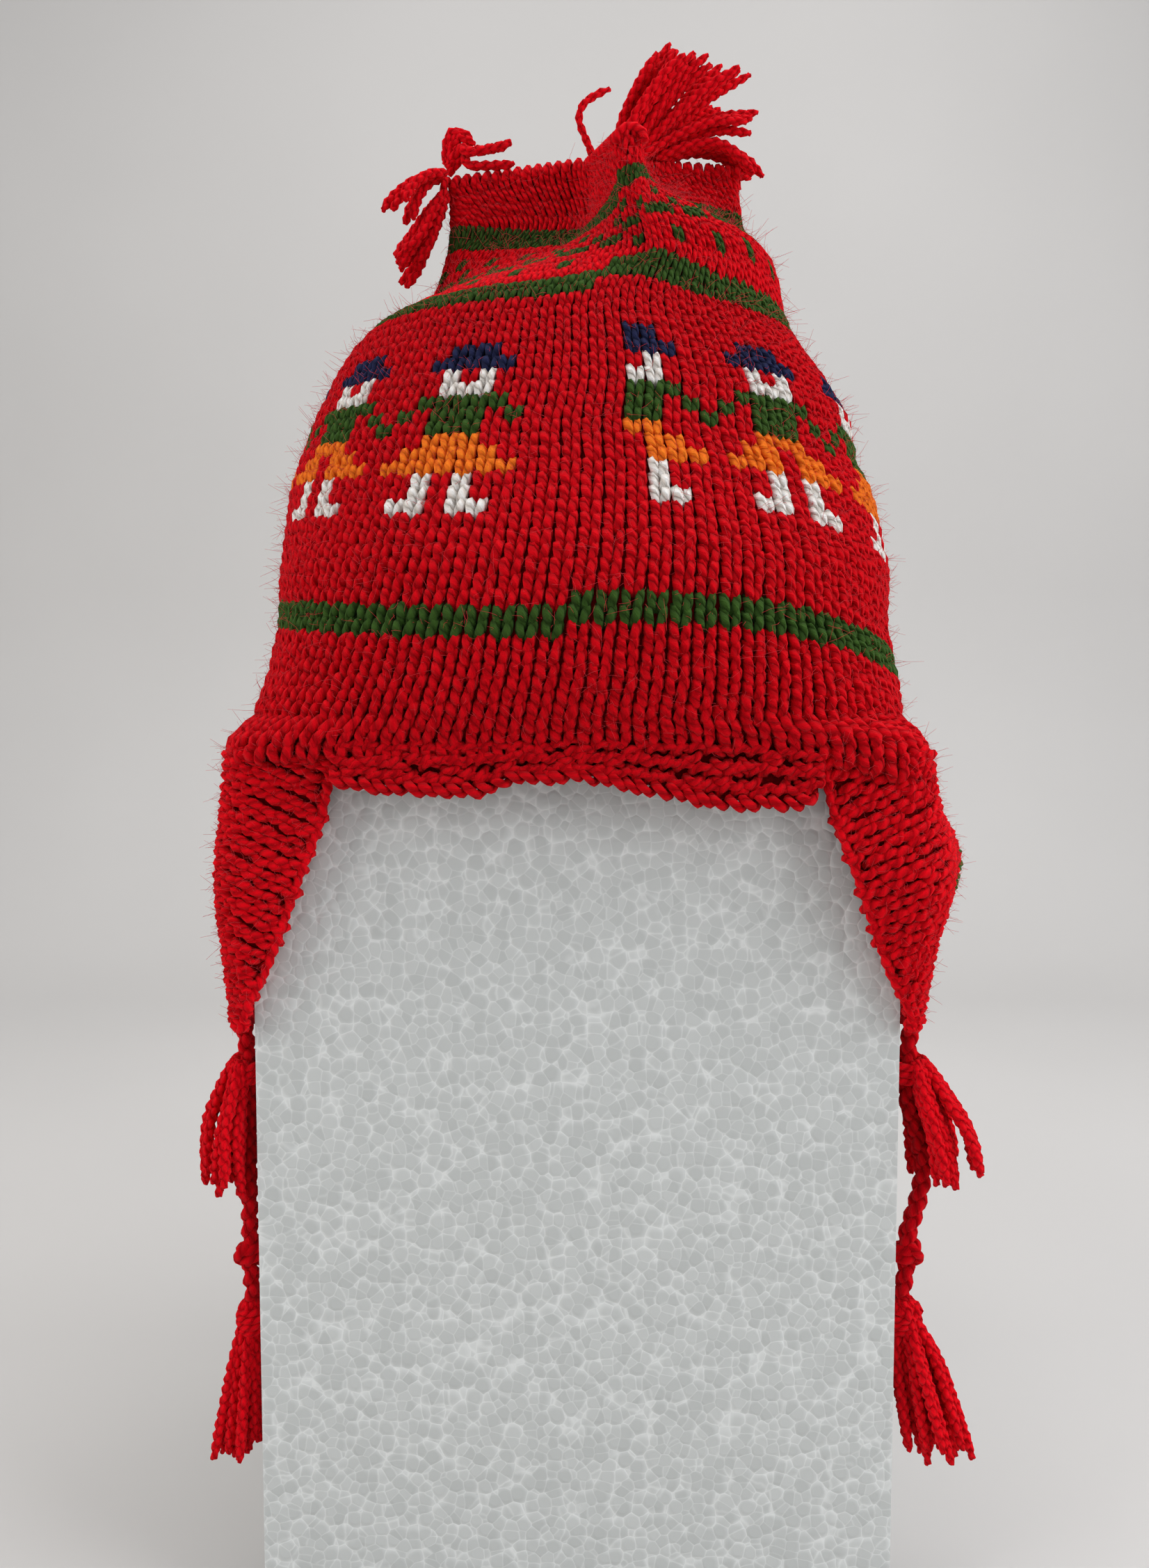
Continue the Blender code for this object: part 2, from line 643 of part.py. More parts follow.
def lock_rings(root, row, length, thickness, droop, twist):
    """Rings of one tapering lock that leaves its root and bends under its weight."""
    right, back = math.radians(row["lean_right"]), math.radians(row["lean_back"])
    heading = Vector((math.sin(right) * math.cos(back), math.sin(back),
                      math.cos(right) * math.cos(back))).normalized()
    size = row["thickness"] * thickness / 2
    places = [root + heading * (length * row["length"] * t)
              - Vector((0.0, 0.0, droop * t * t)) for t in (0.0, 0.25, 0.5, 0.75, 1.0)]
    sideways = heading.orthogonal().normalized()
    other = heading.cross(sideways)
    rings = []
    for place, share in zip(places, (0.9, 1.0, 1.05, 0.85, 0.35)):
        rings.append([place + (sideways * math.cos(a) + other * math.sin(a)) * size * share
                      for a in (2 * math.pi * k / 7 + twist for k in range(7))])
    return rings


def fuse(name, meshes, colour):
    """One solid from overlapping ones."""
    first = add_object(name, meshes[0], colour)
    for k, mesh in enumerate(meshes[1:]):
        other = bpy.data.objects.new(f"{name}_lock_{k}", mesh)
        bpy.context.scene.collection.objects.link(other)
        other.hide_render = True
        other.display_type = "WIRE"
        union = first.modifiers.new(f"lock_{k}", "BOOLEAN")
        union.operation = "UNION"
        union.solver = "EXACT"
        union.object = other
    return first


def make_lock_tassel(name, root, rows, length, thickness, droop):
    """Tassel of locks that fan out from one small head."""
    head = bmesh.new()
    bmesh.ops.create_icosphere(head, subdivisions=2, radius=thickness * 0.75)
    bmesh.ops.translate(head, verts=head.verts[:], vec=root)
    pieces = [finish_mesh(head, name)]
    for k, row in enumerate(table(LOCK_COLUMNS, rows)):
        rings = lock_rings(root, row, length, thickness, droop, 0.37 * k)
        pieces.append(loft(rings, f"{name}_{k}"))
    fuse(name, pieces, DEEP_RED)


def make_crown_tassels():
    """Crest tassel on the middle of the top seam and a smaller one on the left corner."""
    top = HEM_HEIGHT + CROWN_HEIGHT
    head = CREST_LOCK * 0.75
    corner = CORNER_ROWS[1]
    ridge = math.radians(corner["angle_deg"])
    share = CREST_PLACE / (corner["reach"] * CORNER_REACH)
    seat = WALL / 2 * (1.0 - share) - corner["drop"] * CORNER_DROP * share
    crest = Vector((SECTIONS[-1]["shift"] + CREST_PLACE * math.cos(ridge),
                    CREST_PLACE * math.sin(ridge), top + seat + head + GAP))
    make_lock_tassel("crest_tassel", crest, CREST_LOCKS, CREST_LENGTH, CREST_LOCK, 0.003)
    angle = math.radians(180.0)
    tip = crown_point(angle, CROWN_HEIGHT)
    small = CORNER_LOCK * 0.75
    root = tip + Vector((-small - GAP, 0.0, -2 * small))
    make_lock_tassel("corner_tassel", root, CORNER_TASSEL_LOCKS, CORNER_TASSEL_LENGTH,
                     CORNER_LOCK, 0.006)


def make_borders():
    """Brow border between the flaps in front, nape border between them behind."""
    row = table(FLAP_COLUMNS, FLAP_ROWS)[0]
    front = wrap(-row["front"] * FLAP_WIDTH, FLAP_RISE, 1.0)
    rear = wrap(row["rear"] * FLAP_WIDTH, FLAP_RISE, 1.0)
    inner_end = front.x - 2 * GAP
    make_border("brow_border", -inner_end, inner_end, BROW_EDGE, 30, hem_front)
    start = math.atan2(rear.y + WALL / 2, rear.x)
    make_border("nape_border", start, math.pi - start, NAPE_EDGE, 44, hem_side)


def main():
    clear_scene()
    make_block()
    make_crown()
    make_borders()
    for name in ("left", "right"):
        make_flap(name)
        make_tie(name)
        make_upper_tassel(name)
        make_lower_tassel(name)
    make_crown_tassels()


main()
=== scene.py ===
import math

import bpy
import numpy as np
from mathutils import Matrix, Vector


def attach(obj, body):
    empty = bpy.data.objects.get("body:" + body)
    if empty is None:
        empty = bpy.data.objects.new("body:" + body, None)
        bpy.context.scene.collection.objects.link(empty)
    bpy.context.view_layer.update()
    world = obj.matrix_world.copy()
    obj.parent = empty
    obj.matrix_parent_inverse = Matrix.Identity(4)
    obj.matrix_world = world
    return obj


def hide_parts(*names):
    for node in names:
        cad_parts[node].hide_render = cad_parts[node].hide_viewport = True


# A hand-knitted chullo hat on a foam block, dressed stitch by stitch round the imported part.
# Metres, +Z up; the wearer's face looks along -Y, and left means -X.

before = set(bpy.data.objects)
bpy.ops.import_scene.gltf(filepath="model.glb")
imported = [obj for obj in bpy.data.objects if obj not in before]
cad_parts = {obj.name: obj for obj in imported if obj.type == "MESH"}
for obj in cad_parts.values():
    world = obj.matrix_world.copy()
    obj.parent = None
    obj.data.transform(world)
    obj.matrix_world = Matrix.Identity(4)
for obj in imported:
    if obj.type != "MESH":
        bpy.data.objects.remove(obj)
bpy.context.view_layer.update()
MM = 0.001
SIDE = {"left": -1.0, "right": 1.0}
TURN = 2 * math.pi
rng = np.random.default_rng(20)

# Sizes shared with the part
GAP = 0.0003
BLOCK_WIDTH, BLOCK_DEPTH = 0.153, 0.124
WALL, HEM_HEIGHT, CROWN_HEIGHT = 0.0035, 0.2156, 0.1594
HEAD_WIDTH, HEAD_DEPTH = 0.1638, 0.1540
HEM_SIDE_EASE, HEM_FRONT_EASE = 0.0034, 0.0070
HOLLOW_HEIGHT, TOP_SHIFT = 0.1360, 0.0080
CORNER_REACH, CORNER_DROP, SEAM_MIDDLE = 0.0400, 0.0080, 1.5
TIP_START, FOLD_PINCH = 0.9, 0.85
BORDER_DEPTH = 0.0100
FLAP_LENGTH, FLAP_WIDTH, FLAP_WALL = 0.0660, 0.0840, 0.0048
FLAP_RISE, FLAP_TURN = 0.0115, 0.0120
CORD_DIAMETER, CORD_BACK, CORD_TOP_OVERHANG = 0.0058, 0.0075, 0.0015
KNOT_HEIGHT = 0.0072
UPPER_TASSEL_TOP, UPPER_TASSEL_LENGTH = 0.1400, 0.0340
LOWER_TASSEL_TOP, LOWER_TASSEL_LENGTH = 0.0790, 0.0410

# Crown sections above the hem, as shares of the sizes above
CROWN_COLUMNS = ("height", "half_width", "half_depth", "squareness", "shift", "fold")
CROWN_SECTIONS = (
    (0.040, 1.004, 0.974, 4.20, 0.00, 0.00),
    (0.103, 1.006, 1.000, 3.10, 0.16, 0.00),
    (0.184, 0.991, 1.000, 2.60, 0.18, 0.00),
    (0.279, 1.000, 0.955, 2.40, 0.24, 0.00),
    (0.373, 0.982, 0.870, 2.25, 0.18, 0.00),
    (0.417, 0.969, 0.831, 2.20, 0.14, 0.00),
    (0.467, 0.932, 0.786, 2.15, 0.02, 0.00),
    (0.542, 0.896, 0.730, 2.10, 0.18, 0.00),
    (0.617, 0.819, 0.668, 2.04, 0.10, 0.00),
    (0.655, 0.768, 0.636, 2.02, 0.04, 0.00),
    (0.693, 0.708, 0.605, 2.00, 0.15, 0.02),
    (0.730, 0.641, 0.579, 2.00, 0.54, 0.06),
    (0.768, 0.595, 0.564, 2.00, 0.91, 0.12),
    (0.812, 0.571, 0.553, 2.00, 0.89, 0.22),
    (0.856, 0.546, 0.545, 2.00, 0.79, 0.36),
    (0.906, 0.520, 0.530, 2.00, 0.70, 0.58),
    (0.956, 0.500, 0.510, 2.00, 0.64, 0.82),
    (1.000, 0.480, 0.490, 2.00, 0.60, 1.00),
)
# Corners of the folded top, and between which shares of the crown's height the valley after
# each one closes
CORNER_COLUMNS = ("angle_deg", "reach", "drop", "closes_from", "closes_to")
CORNERS = (
    (-77.0, 0.93, 1.00, 0.80, 1.00),
    (8.0, 1.02, 0.00, 0.76, 1.00),
    (98.0, 0.93, 0.50, 0.74, 1.00),
    (180.0, 1.01, 0.70, 0.68, 0.91),
)
BROW_EDGE = (
    (0.00, 0.77), (0.18, 1.03), (0.31, 0.97), (0.36, 0.71), (0.51, 0.67),
    (0.65, 0.93), (0.75, 1.25), (0.84, 1.30), (0.96, 1.30), (1.00, 1.08),
)
NAPE_EDGE = ((0.00, 0.90), (0.30, 1.05), (0.50, 0.95), (0.70, 1.05), (1.00, 0.90))
FLAP_COLUMNS = ("down", "front", "rear", "front_rise", "corner_rise", "side_rise", "rear_rise")
FLAP_ROWS = (
    (0.00, 0.320, 0.750, 0.80, 0.45, 0.60, 0.58),
    (0.09, 0.310, 0.735, 0.62, 0.46, 0.72, 0.60),
    (0.20, 0.290, 0.690, 0.52, 0.50, 0.86, 0.62),
    (0.33, 0.255, 0.620, 0.48, 0.56, 0.98, 0.62),
    (0.46, 0.215, 0.535, 0.46, 0.60, 1.02, 0.62),
    (0.58, 0.180, 0.450, 0.46, 0.58, 0.98, 0.60),
    (0.70, 0.145, 0.370, 0.47, 0.54, 0.90, 0.58),
    (0.81, 0.110, 0.300, 0.48, 0.52, 0.80, 0.56),
    (0.91, 0.060, 0.245, 0.50, 0.50, 0.72, 0.54),
    (1.00, 0.000, 0.205, 0.52, 0.52, 0.66, 0.54),
)
FLAP_BULGE = {"left": 0.97, "right": 1.08}

# Tie cords: height above the floor, then metres out from the block and behind the flap's tip
CORD_ROUTES = {
    "left": ((0.1320, 0.0002, 0.0000), (0.1220, 0.0008, 0.0004), (0.1130, 0.0009, 0.0002),
             (0.1050, 0.0008, -0.0004)),
    "right": ((0.1320, 0.0008, 0.0002), (0.1220, 0.0030, 0.0006), (0.1130, 0.0052, 0.0004),
              (0.1050, 0.0042, -0.0004)),
}
PLAIT_POINTS, ROUTE_POINTS = 90, 30
KNOT_CENTRES = {"left": (0.0910, 0.0008, -0.0006), "right": (0.0910, 0.0014, -0.0006)}

# Stitches: columns counted to the right from the seam of the round, rows from the hem up
COLUMNS = 97
FRONT_STRETCH = 0.045
ROW_MARKS = (-4, 0, 9, 11, 17, 30, 34, 36)
ROW_HEIGHTS = (0.2036, 0.2153, 0.2418, 0.2490, 0.2702, 0.3128, 0.3248, 0.3292)
ROWS, FOLD_POWER = 49, 1.2
SEAM_HEIGHTS = (0.2156, 0.2900, 0.3320, 0.3750)
SEAM_DEGREES = (-95.2, -89.4, -86.8, -78.6)
TILT_HEIGHTS = (0.2153, 0.2450, 0.2900, 0.3300, 0.3600)
TILT_LEFT_MM = (-1.7, 5.5, 5.0, 2.0, 0.0)
TILT_RIGHT_MM = (-11.0, -12.0, -7.0, -2.0, 0.0)
TILT_SPAN, TILT_POWER = 0.082, 3.2
RIDGE_X, RIDGE_SPAN, RIDGE_LIFT = 0.0130, 0.0130, 0.0036
RIDGE_HEIGHTS = (0.300, 0.328)
GRID_START, GRID_STEP = -2.0, 0.25
RING_POINTS, LEVELS, LOWEST = 3601, 130, -0.014

# One leg of a stitch, from its foot to its head: rows up, shares of a column out from the
# stitch's middle, and how far it stands out and how thick it is, in yarn radii
LEG_ROWS = np.array((-0.32, 0.06, 0.46, 0.86, 1.22))
LEG_SPREAD = np.array((0.085, 0.185, 0.248, 0.282, 0.296))
LEG_DEPTH = np.array((-1.45, -0.45, -0.30, -0.60, -1.55))
LEG_THICKNESS = np.array((0.78, 1.02, 1.08, 1.02, 0.74))
# Rows between which the yarn's radius grows, and its shares of a column there
LEG_RADIUS = (10, 17), (0.205, 0.236)
LEG_SIDES = 5
# How unevenly legs sit sideways (columns), upwards (rows), in thickness and in depth
SHAKE_SIDE, SHAKE_UP, SHAKE_SIZE, SHAKE_DEPTH = 0.020, 0.04, 0.05, 0.10
# Red stitches are parted by rows; the topmost part, up to the top seam, is paler, as painted light
# from above
RED_PART_ROWS, TOP_PART = 17, 2

# Colour chart, top row first. Letters: R red, G green, N navy, W white, O orange.
FIGURE = ("RRRNNNRR", "RRNNNNNR", "RRRWRWRR", "RRRWWWRR", "RRGGGGGR", "RGRGGGRG", "GRRGGGRR",
          "RRROOORR", "RROOOOOR", "ROOOOOOO", "RRRWRWRR", "RRRWRWRR", "RRWWRWWR")
FIGURE_START, FIGURE_MIDDLE, FIGURE_COLUMNS, FIGURE_COUNT = 2, 4, 8, 12
# The figures in trousers, and the chart lines in which a gap parts a skirt into trousers
TROUSERS, TROUSER_LINES = (0, 1, 3, 5, 7, 9, 10), (8, 9)
LATTICE = ("RRRR", "GRRR", "RRGR", "GGRG", "RRRR", "RGRR", "RRRR")
BANDS = ((0, "R"), (9, "G"), (11, "R"), (17, "figures"), (30, "R"), (34, "G"), (36, "lattice"),
         (43, "G"), (45, "R"))

# Yarn colours, linear
COLOURS = {
    "R": (0.52, 0.0016, 0.0062), "G": (0.031, 0.070, 0.012), "N": (0.014, 0.017, 0.052),
    "W": (0.84, 0.77, 0.70), "O": (0.95, 0.17, 0.014),
}
# Lining red, darker than the yarn: painted shade in the depth between stitches
LINING_SHADE_RED = (0.34, 0.0018, 0.0050)
# How much paler the red is on the top rows, the flaps and the tassels: painted light
TOP_PAINTED_LIGHT, FLAP_PAINTED_LIGHT, TASSEL_PAINTED_LIGHT = 1.30, 1.26, 1.42
# Fuzz hairs: a paler red and a faint red glow, painted light through the fibres
FUZZ_RED, FUZZ_GLOW, GLOW_STRENGTH = (0.86, 0.045, 0.060), (0.95, 0.09, 0.10, 1.0), 0.16
PAPER_GREY = (0.57, 0.556, 0.543)

# Wool: plies in a strand, and how often fibre streaks repeat round it and along each millimetre
PLIES, STREAKS_AROUND, STREAKS_ALONG, SHEEN_PALENESS = 2.0, 3.0, 0.35, 0.03
# Foam beads, per metre, and how far noise moves their outlines
BEAD_SCALE, BEAD_WARP_SCALE, BEAD_WARP = 345.0, 180.0, 0.0012

# Loose strands on the top, in millimetres: points from root to tip
CREST_STRANDS = (
    ((13, 0, 376), (15, 0, 384), (21, -2, 395), (26, -3, 404)),
    ((14, 2, 377), (18, 3, 386), (25, 3, 397), (31.7, 4, 404.8)),
    ((15, -1, 376), (20, -3, 385), (28, -5, 395), (35.4, -6, 401)),
    ((15, 1, 376), (22, 2, 384), (31, 3, 394), (40.3, 4, 401.3)),
    ((16, -1, 376), (24, -3, 384), (34, -5, 392), (43.8, -7, 397.3)),
    ((17, 1, 376), (26, 1, 382), (36, 2, 387), (46.1, 2, 388.1)),
    ((17, -2, 376), (27, -3, 381), (37, -5, 384), (46.1, -6, 383.5)),
    ((13, 3, 377), (17, 7, 387), (22, 10, 396), (27, 13, 402)),
    ((16, 3, 377), (23, 8, 386), (31, 12, 393), (39, 14, 397)),
    ((17, 3, 377), (26, 7, 384), (35, 9, 389), (42, 12, 391)),
    ((11, 0, 377), (12.5, -2, 386), (17, -4, 395), (22, -5, 402)),
    ((12, -2, 377), (16, -5, 386), (23, -7, 395), (29, -8, 400)),
    ((21, 0, 376), (29, 2, 380), (36, 3, 381), (42.3, 3, 379.5), (46.9, 3, 375.7),
     (49.6, 3, 376.2)),
    ((22, -1, 376), (30, -2, 379), (38, -3, 379.5), (44, -4, 376), (48.0, -4, 371.5)),
)
LOOSE_END = ((5, -3, 374), (2.8, -6, 378), (0.6, -8, 382.5), (1.4, -9, 386.2), (5.1, -9, 389),
             (8.9, -9, 390.6))
CORNER_STRANDS = (
    ((-36, 0, 374), (-32, -2, 378.5), (-29.9, -4, 376.5), (-22.2, -5, 377), (-18, -6, 378)),
    ((-36, 1, 375), (-35, -1, 380), (-32.5, -2, 382.5), (-29, -2, 381)),
    ((-37, -2, 371), (-41, -4, 368), (-44, -5, 363), (-45, -6, 358)),
    ((-37, -3, 366), (-40, -5, 360), (-44, -6, 352), (-49.4, -6, 347.2)),
    ((-37, -1, 365), (-41, -3, 358), (-45.5, -3, 350), (-48.7, -4, 344.9)),
    ((-37, 1, 364), (-40, 0, 356), (-44, 0, 347), (-47.3, -1, 341.5)),
    ((-37, 2, 367), (-42, 3, 362), (-47, 4, 355), (-51, 5, 350)),
    ((-37, -4, 370), (-42, -7, 368), (-47, -8, 364), (-50, -9, 359)),
)


def table(columns, rows):
    """Rows of a table as arrays of its named columns."""
    return {name: np.array([row[k] for row in rows], float) for k, name in enumerate(columns)}


def row_at(values, key, place):
    """Row of a table, between its rows by one of its columns."""
    return {name: float(np.interp(place, values[key], column)) for name, column in values.items()}


# Camera, at the photograph's viewing angle
def make_camera():
    camera = bpy.data.cameras.new("camera")
    camera.sensor_width = 36.0
    camera.lens = 26.82
    camera.clip_start = 0.01
    holder = bpy.data.objects.new("camera", camera)
    holder.location = (-0.0007, -0.3346, 0.2250)
    holder.rotation_euler = (math.radians(86.2), 0.0, 0.0)
    bpy.context.scene.collection.objects.link(holder)
    bpy.context.scene.camera = holder


# Materials
class Look:
    """A material being built round its Principled shader, each node wired up in one call."""

    def __init__(self, name, values):
        self.material = bpy.data.materials.new(name)
        self.material.use_nodes = True
        self.tree = self.material.node_tree
        self.shader = self.tree.nodes["Principled BSDF"]
        self.fill(self.shader, values)
        self.places = self.add("TexCoord", {})

    def fill(self, node, values):
        """Constants or sockets on a node's inputs."""
        for name, value in values.items():
            if isinstance(value, bpy.types.NodeSocket):
                self.tree.links.new(value, node.inputs[name])
            else:
                node.inputs[name].default_value = value
        return node.outputs

    def add(self, kind, values, **settings):
        node = self.tree.nodes.new(f"ShaderNode{kind}")
        for name, value in settings.items():
            setattr(node, name, value)
        return self.fill(node, values)

    def maths(self, operation, first, second=0.0):
        return self.add("Math", {0: first, 1: second}, operation=operation)[0]

    def weighted(self, first, *others):
        """Sum of (socket, weight) pairs."""
        total = self.maths("MULTIPLY", *first)
        for pair in others:
            total = self.maths("ADD", total, self.maths("MULTIPLY", *pair))
        return total

    def noise(self, vector, scale, detail):
        return self.add("TexNoise", {"Vector": vector, "Scale": scale, "Detail": detail})["Fac"]

    def ramp(self, factor, stops):
        """Base colour by a ramp through (place, colour) stops."""
        node = self.tree.nodes.new("ShaderNodeValToRGB")
        while len(node.color_ramp.elements) < len(stops):
            node.color_ramp.elements.new(0.5)
        for element, (place, colour) in zip(node.color_ramp.elements, stops):
            element.position = place
            element.color = (*colour, 1.0)
        self.fill(self.shader, {"Base Color": self.fill(node, {"Fac": factor})["Color"]})

    def relief(self, height, strength, distance):
        values = {"Height": height, "Strength": strength, "Distance": distance}
        self.fill(self.shader, {"Normal": self.add("Bump", values)[0]})


def scaled(colour, amount):
    return tuple(min(1.0, channel * amount) for channel in colour)


def wool(name, colour, fuzz=0.80, pitch=2.4, glow=None):
    """Two-ply wool: plies twist along the strand's UVs, with fibre streaks, uneven dye and painted
    shade in the grooves between plies.
    """
    tint = tuple(channel + SHEEN_PALENESS for channel in colour)
    look = Look(name, {"Roughness": 0.95, "Specular IOR Level": 0.05, "Sheen Weight": fuzz,
                       "Sheen Roughness": 0.45, "Sheen Tint": (*tint, 1.0), **(glow or {})})
    around, along = look.add("SeparateXYZ", {0: look.places["UV"]})[:2]
    phase = look.maths("ADD", look.maths("MULTIPLY", around, PLIES),
                       look.maths("DIVIDE", along, pitch))
    ply = look.maths("ABSOLUTE", look.maths("SINE", look.maths("MULTIPLY", phase, math.pi)))
    streaks = look.add("CombineXYZ", {0: look.maths("MULTIPLY", phase, STREAKS_AROUND),
                                      1: look.maths("MULTIPLY", along, STREAKS_ALONG)})
    fibre = look.noise(streaks[0], 2.2, 5.0)
    patches = look.noise(look.places["Object"], 140.0, 2.0)
    # Base colour from fibre streaks and dye patches, plus the ply term, which paints shade into the
    # grooves
    look.ramp(look.weighted((fibre, 0.55), (patches, 0.25), (ply, 0.42)),
              ((0.20, scaled(colour, 0.45)), (0.58, colour), (0.95, scaled(colour, 1.50))))
    look.relief(look.weighted((ply, 1.0), (fibre, 0.7)), 0.90, 0.0009)
    return look.material


def backing():
    """Wool seen in the depth between stitches, painted darker than the yarn as shade."""
    look = Look("wool_lining_painted_shade", {"Roughness": 0.95, "Specular IOR Level": 0.1})
    fibre = look.noise(look.places["Object"], 900.0, 4.0)
    look.ramp(fibre, ((0.30, scaled(LINING_SHADE_RED, 0.45)), (0.70, LINING_SHADE_RED)))
    look.relief(fibre, 0.6, 0.0006)
    return look.material


def foam():
    """Expanded foam: beads of slightly different greys with thin pale seams between them."""
    look = Look("foam_beads", {"Roughness": 0.62, "Specular IOR Level": 0.35,
                               "Subsurface Weight": 0.12, "Subsurface Scale": 1.0,
                               "Subsurface Radius": (0.004, 0.004, 0.004)})
    spot = look.places["Object"]
    warp = look.add("TexNoise", {"Vector": spot, "Scale": BEAD_WARP_SCALE})["Color"]
    spot = look.add("VectorMath", {0: warp, 1: (BEAD_WARP,) * 3, 2: spot},
                    operation="MULTIPLY_ADD")[0]
    cells = {"Vector": spot, "Scale": BEAD_SCALE, "Randomness": 0.85}
    seams = look.add("TexVoronoi", cells, feature="DISTANCE_TO_EDGE")["Distance"]
    beads = look.add("TexVoronoi", cells)
    rim = look.add("MapRange", {"Value": beads["Distance"], "From Min": 0.42, "From Max": 0.95},
                   interpolation_type="SMOOTHSTEP")[0]
    seam = look.add("MapRange", {"Value": seams, "From Max": 0.07, "To Min": 1.0, "To Max": 0.0})[0]
    shade = look.add("SeparateColor", {0: beads["Color"]})
    look.ramp(look.weighted((rim, 0.30), (seam, 0.26), (shade[0], 0.25)),
              ((0.00, (0.55, 0.57, 0.56)), (0.26, (0.63, 0.65, 0.64)), (0.66, (0.80, 0.82, 0.81))))
    look.relief(look.weighted((shade[1], 0.5), (rim, -0.7)), 0.55, 0.0006)
    return look.material


def paper():
    """Plain matt paper for the floor and the backdrop."""
    look = Look("studio_paper", {"Roughness": 0.9})
    look.ramp(look.noise(look.places["Object"], 3.0, 2.0),
              ((0.3, scaled(PAPER_GREY, 0.97)), (0.7, scaled(PAPER_GREY, 1.02))))
    return look.material


# Tubes, the one shape that yarn takes
def unit(vectors):
    return vectors / np.maximum(np.linalg.norm(vectors, axis=-1, keepdims=True), 1e-12)


def distances(points):
    """How far each point lies along its path."""
    steps = np.linalg.norm(np.diff(points, axis=0), axis=-1)
    return np.concatenate([0.0 * steps[:1], np.cumsum(steps, axis=0)])


def frames(paths):
    """Tangent and two cross directions, carried along each path without twist."""
    tangent = unit(np.gradient(paths, axis=1))
    reach = np.abs(paths[:, -1] - paths[:, 0])
    side = np.eye(3)[np.argmin(reach, axis=1)]
    sides = []
    for k in range(paths.shape[1]):
        along = tangent[:, k]
        side = unit(side - np.sum(side * along, axis=1, keepdims=True) * along)
        sides.append(side)
    sides = np.stack(sides, axis=1)
    return tangent, sides, np.cross(tangent, sides)


class Yarn:
    """Closed tubes of one colour, gathered into one mesh."""

    def __init__(self):
        self.points, self.loops, self.sizes, self.uvs, self.count = [], [], [], [], 0

    def add(self, paths, radii, sides=6):
        """Tubes along paths of shape (strands, points, 3), with closed ends."""
        paths = np.asarray(paths, float)
        strands, points, _ = paths.shape
        radii = np.broadcast_to(np.asarray(radii, float), (strands, points))
        _, across, other = frames(paths)
        turns = TURN * np.arange(sides) / sides
        ring = (across[:, :, None] * np.cos(turns)[:, None]
                + other[:, :, None] * np.sin(turns)[:, None])
        self.points.append((paths[:, :, None] + ring * radii[:, :, None, None]).reshape(-1, 3))
        index = np.arange(strands * points * sides).reshape(strands, points, sides) + self.count
        self.count += index.size
        following = np.roll(index, -1, axis=2)
        quads = np.stack([index[:, :-1], following[:, :-1], following[:, 1:], index[:, 1:]], -1)
        along = distances(paths.swapaxes(0, 1)).T / MM + rng.uniform(0.0, 9.0, (strands, 1))
        uv = np.stack(np.broadcast_arrays(np.arange(sides + 1) / sides, along[..., None]), -1)
        corners = np.stack([uv[:, :-1, :-1], uv[:, :-1, 1:], uv[:, 1:, 1:], uv[:, 1:, :-1]], -2)
        caps = np.stack([index[:, 0, ::-1], index[:, -1]], 1)
        self.loops += [quads.reshape(-1), caps.reshape(-1)]
        self.sizes += [np.full(quads.size // 4, 4), np.full(strands * 2, sides)]
        self.uvs += [corners.reshape(-1, 2), np.zeros((caps.size, 2))]

    def build(self, name, *dressing):
        """Piece of all the tubes."""
        arrays = [np.concatenate(part) for part in (self.points, self.loops, self.sizes)]
        return add_piece(name, arrays, *dressing, uvs=np.concatenate(self.uvs))


def add_piece(name, arrays, material, slot, *replaced, uvs=None):
    """Object from flat arrays of points, corner indices and face sizes, on the part's body."""
    points, loops, sizes = arrays
    mesh = bpy.data.meshes.new(name)
    mesh.vertices.add(len(points))
    mesh.vertices.foreach_set("co", np.ascontiguousarray(points, np.float32).ravel())
    mesh.loops.add(len(loops))
    mesh.loops.foreach_set("vertex_index", loops.astype(np.int32))
    mesh.polygons.add(len(sizes))
    starts = np.concatenate([[0], np.cumsum(sizes)[:-1]]).astype(np.int32)
    mesh.polygons.foreach_set("loop_start", starts)
    mesh.update(calc_edges=True)
    if uvs is not None:
        layer = mesh.uv_layers.new(name="strand")
        layer.uv.foreach_set("vector", uvs.astype(np.float32).ravel())
    mesh.shade_smooth()
    mesh.materials.append(material)
    piece = bpy.data.objects.new(name, mesh)
    bpy.context.scene.collection.objects.link(piece)
    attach(piece, "root")
    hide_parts(*replaced)
    return piece


def rings_piece(name, rings, *dressing):
    """Closed solid through rings of points, shape (rings, around, 3), with fans at its ends."""
    count, around, _ = rings.shape
    index = np.arange(count * around).reshape(count, around)
    following = np.roll(index, -1, axis=1)
    quads = np.stack([index[:-1], following[:-1], following[1:], index[1:]], -1)
    ends = count * around + np.arange(2)
    first = np.stack([following[0], index[0], np.full(around, ends[0])], -1)
    last = np.stack([index[-1], following[-1], np.full(around, ends[1])], -1)
    points = np.concatenate([rings.reshape(-1, 3), rings[[0, -1]].mean(axis=1)])
    loops = np.concatenate([quads.ravel(), first.ravel(), last.ravel()])
    sizes = np.concatenate([np.full(quads.size // 4, 4), np.full(2 * around, 3)])
    return add_piece(name, (points, loops, sizes), *dressing)


def smooth_path(points, count):
    """Evenly spaced points on a smooth curve through a few points."""
    points = np.asarray(points, float)
    ends = np.concatenate([[2 * points[0] - points[1]], points, [2 * points[-1] - points[-2]]])
    dense = [0.5 * (2 * start + (end - before) * t
                    + (2 * before - 5 * start + 4 * end - after) * t * t
                    + (3 * start - before - 3 * end + after) * t**3)
             for before, start, end, after in zip(ends, ends[1:], ends[2:], ends[3:])
             for t in np.arange(24) / 24]
    dense = np.array(dense + [points[-1]])
    lengths = distances(dense)
    targets = np.linspace(0.0, lengths[-1], count)
    return np.stack([np.interp(targets, lengths, dense[:, k]) for k in range(3)], -1)


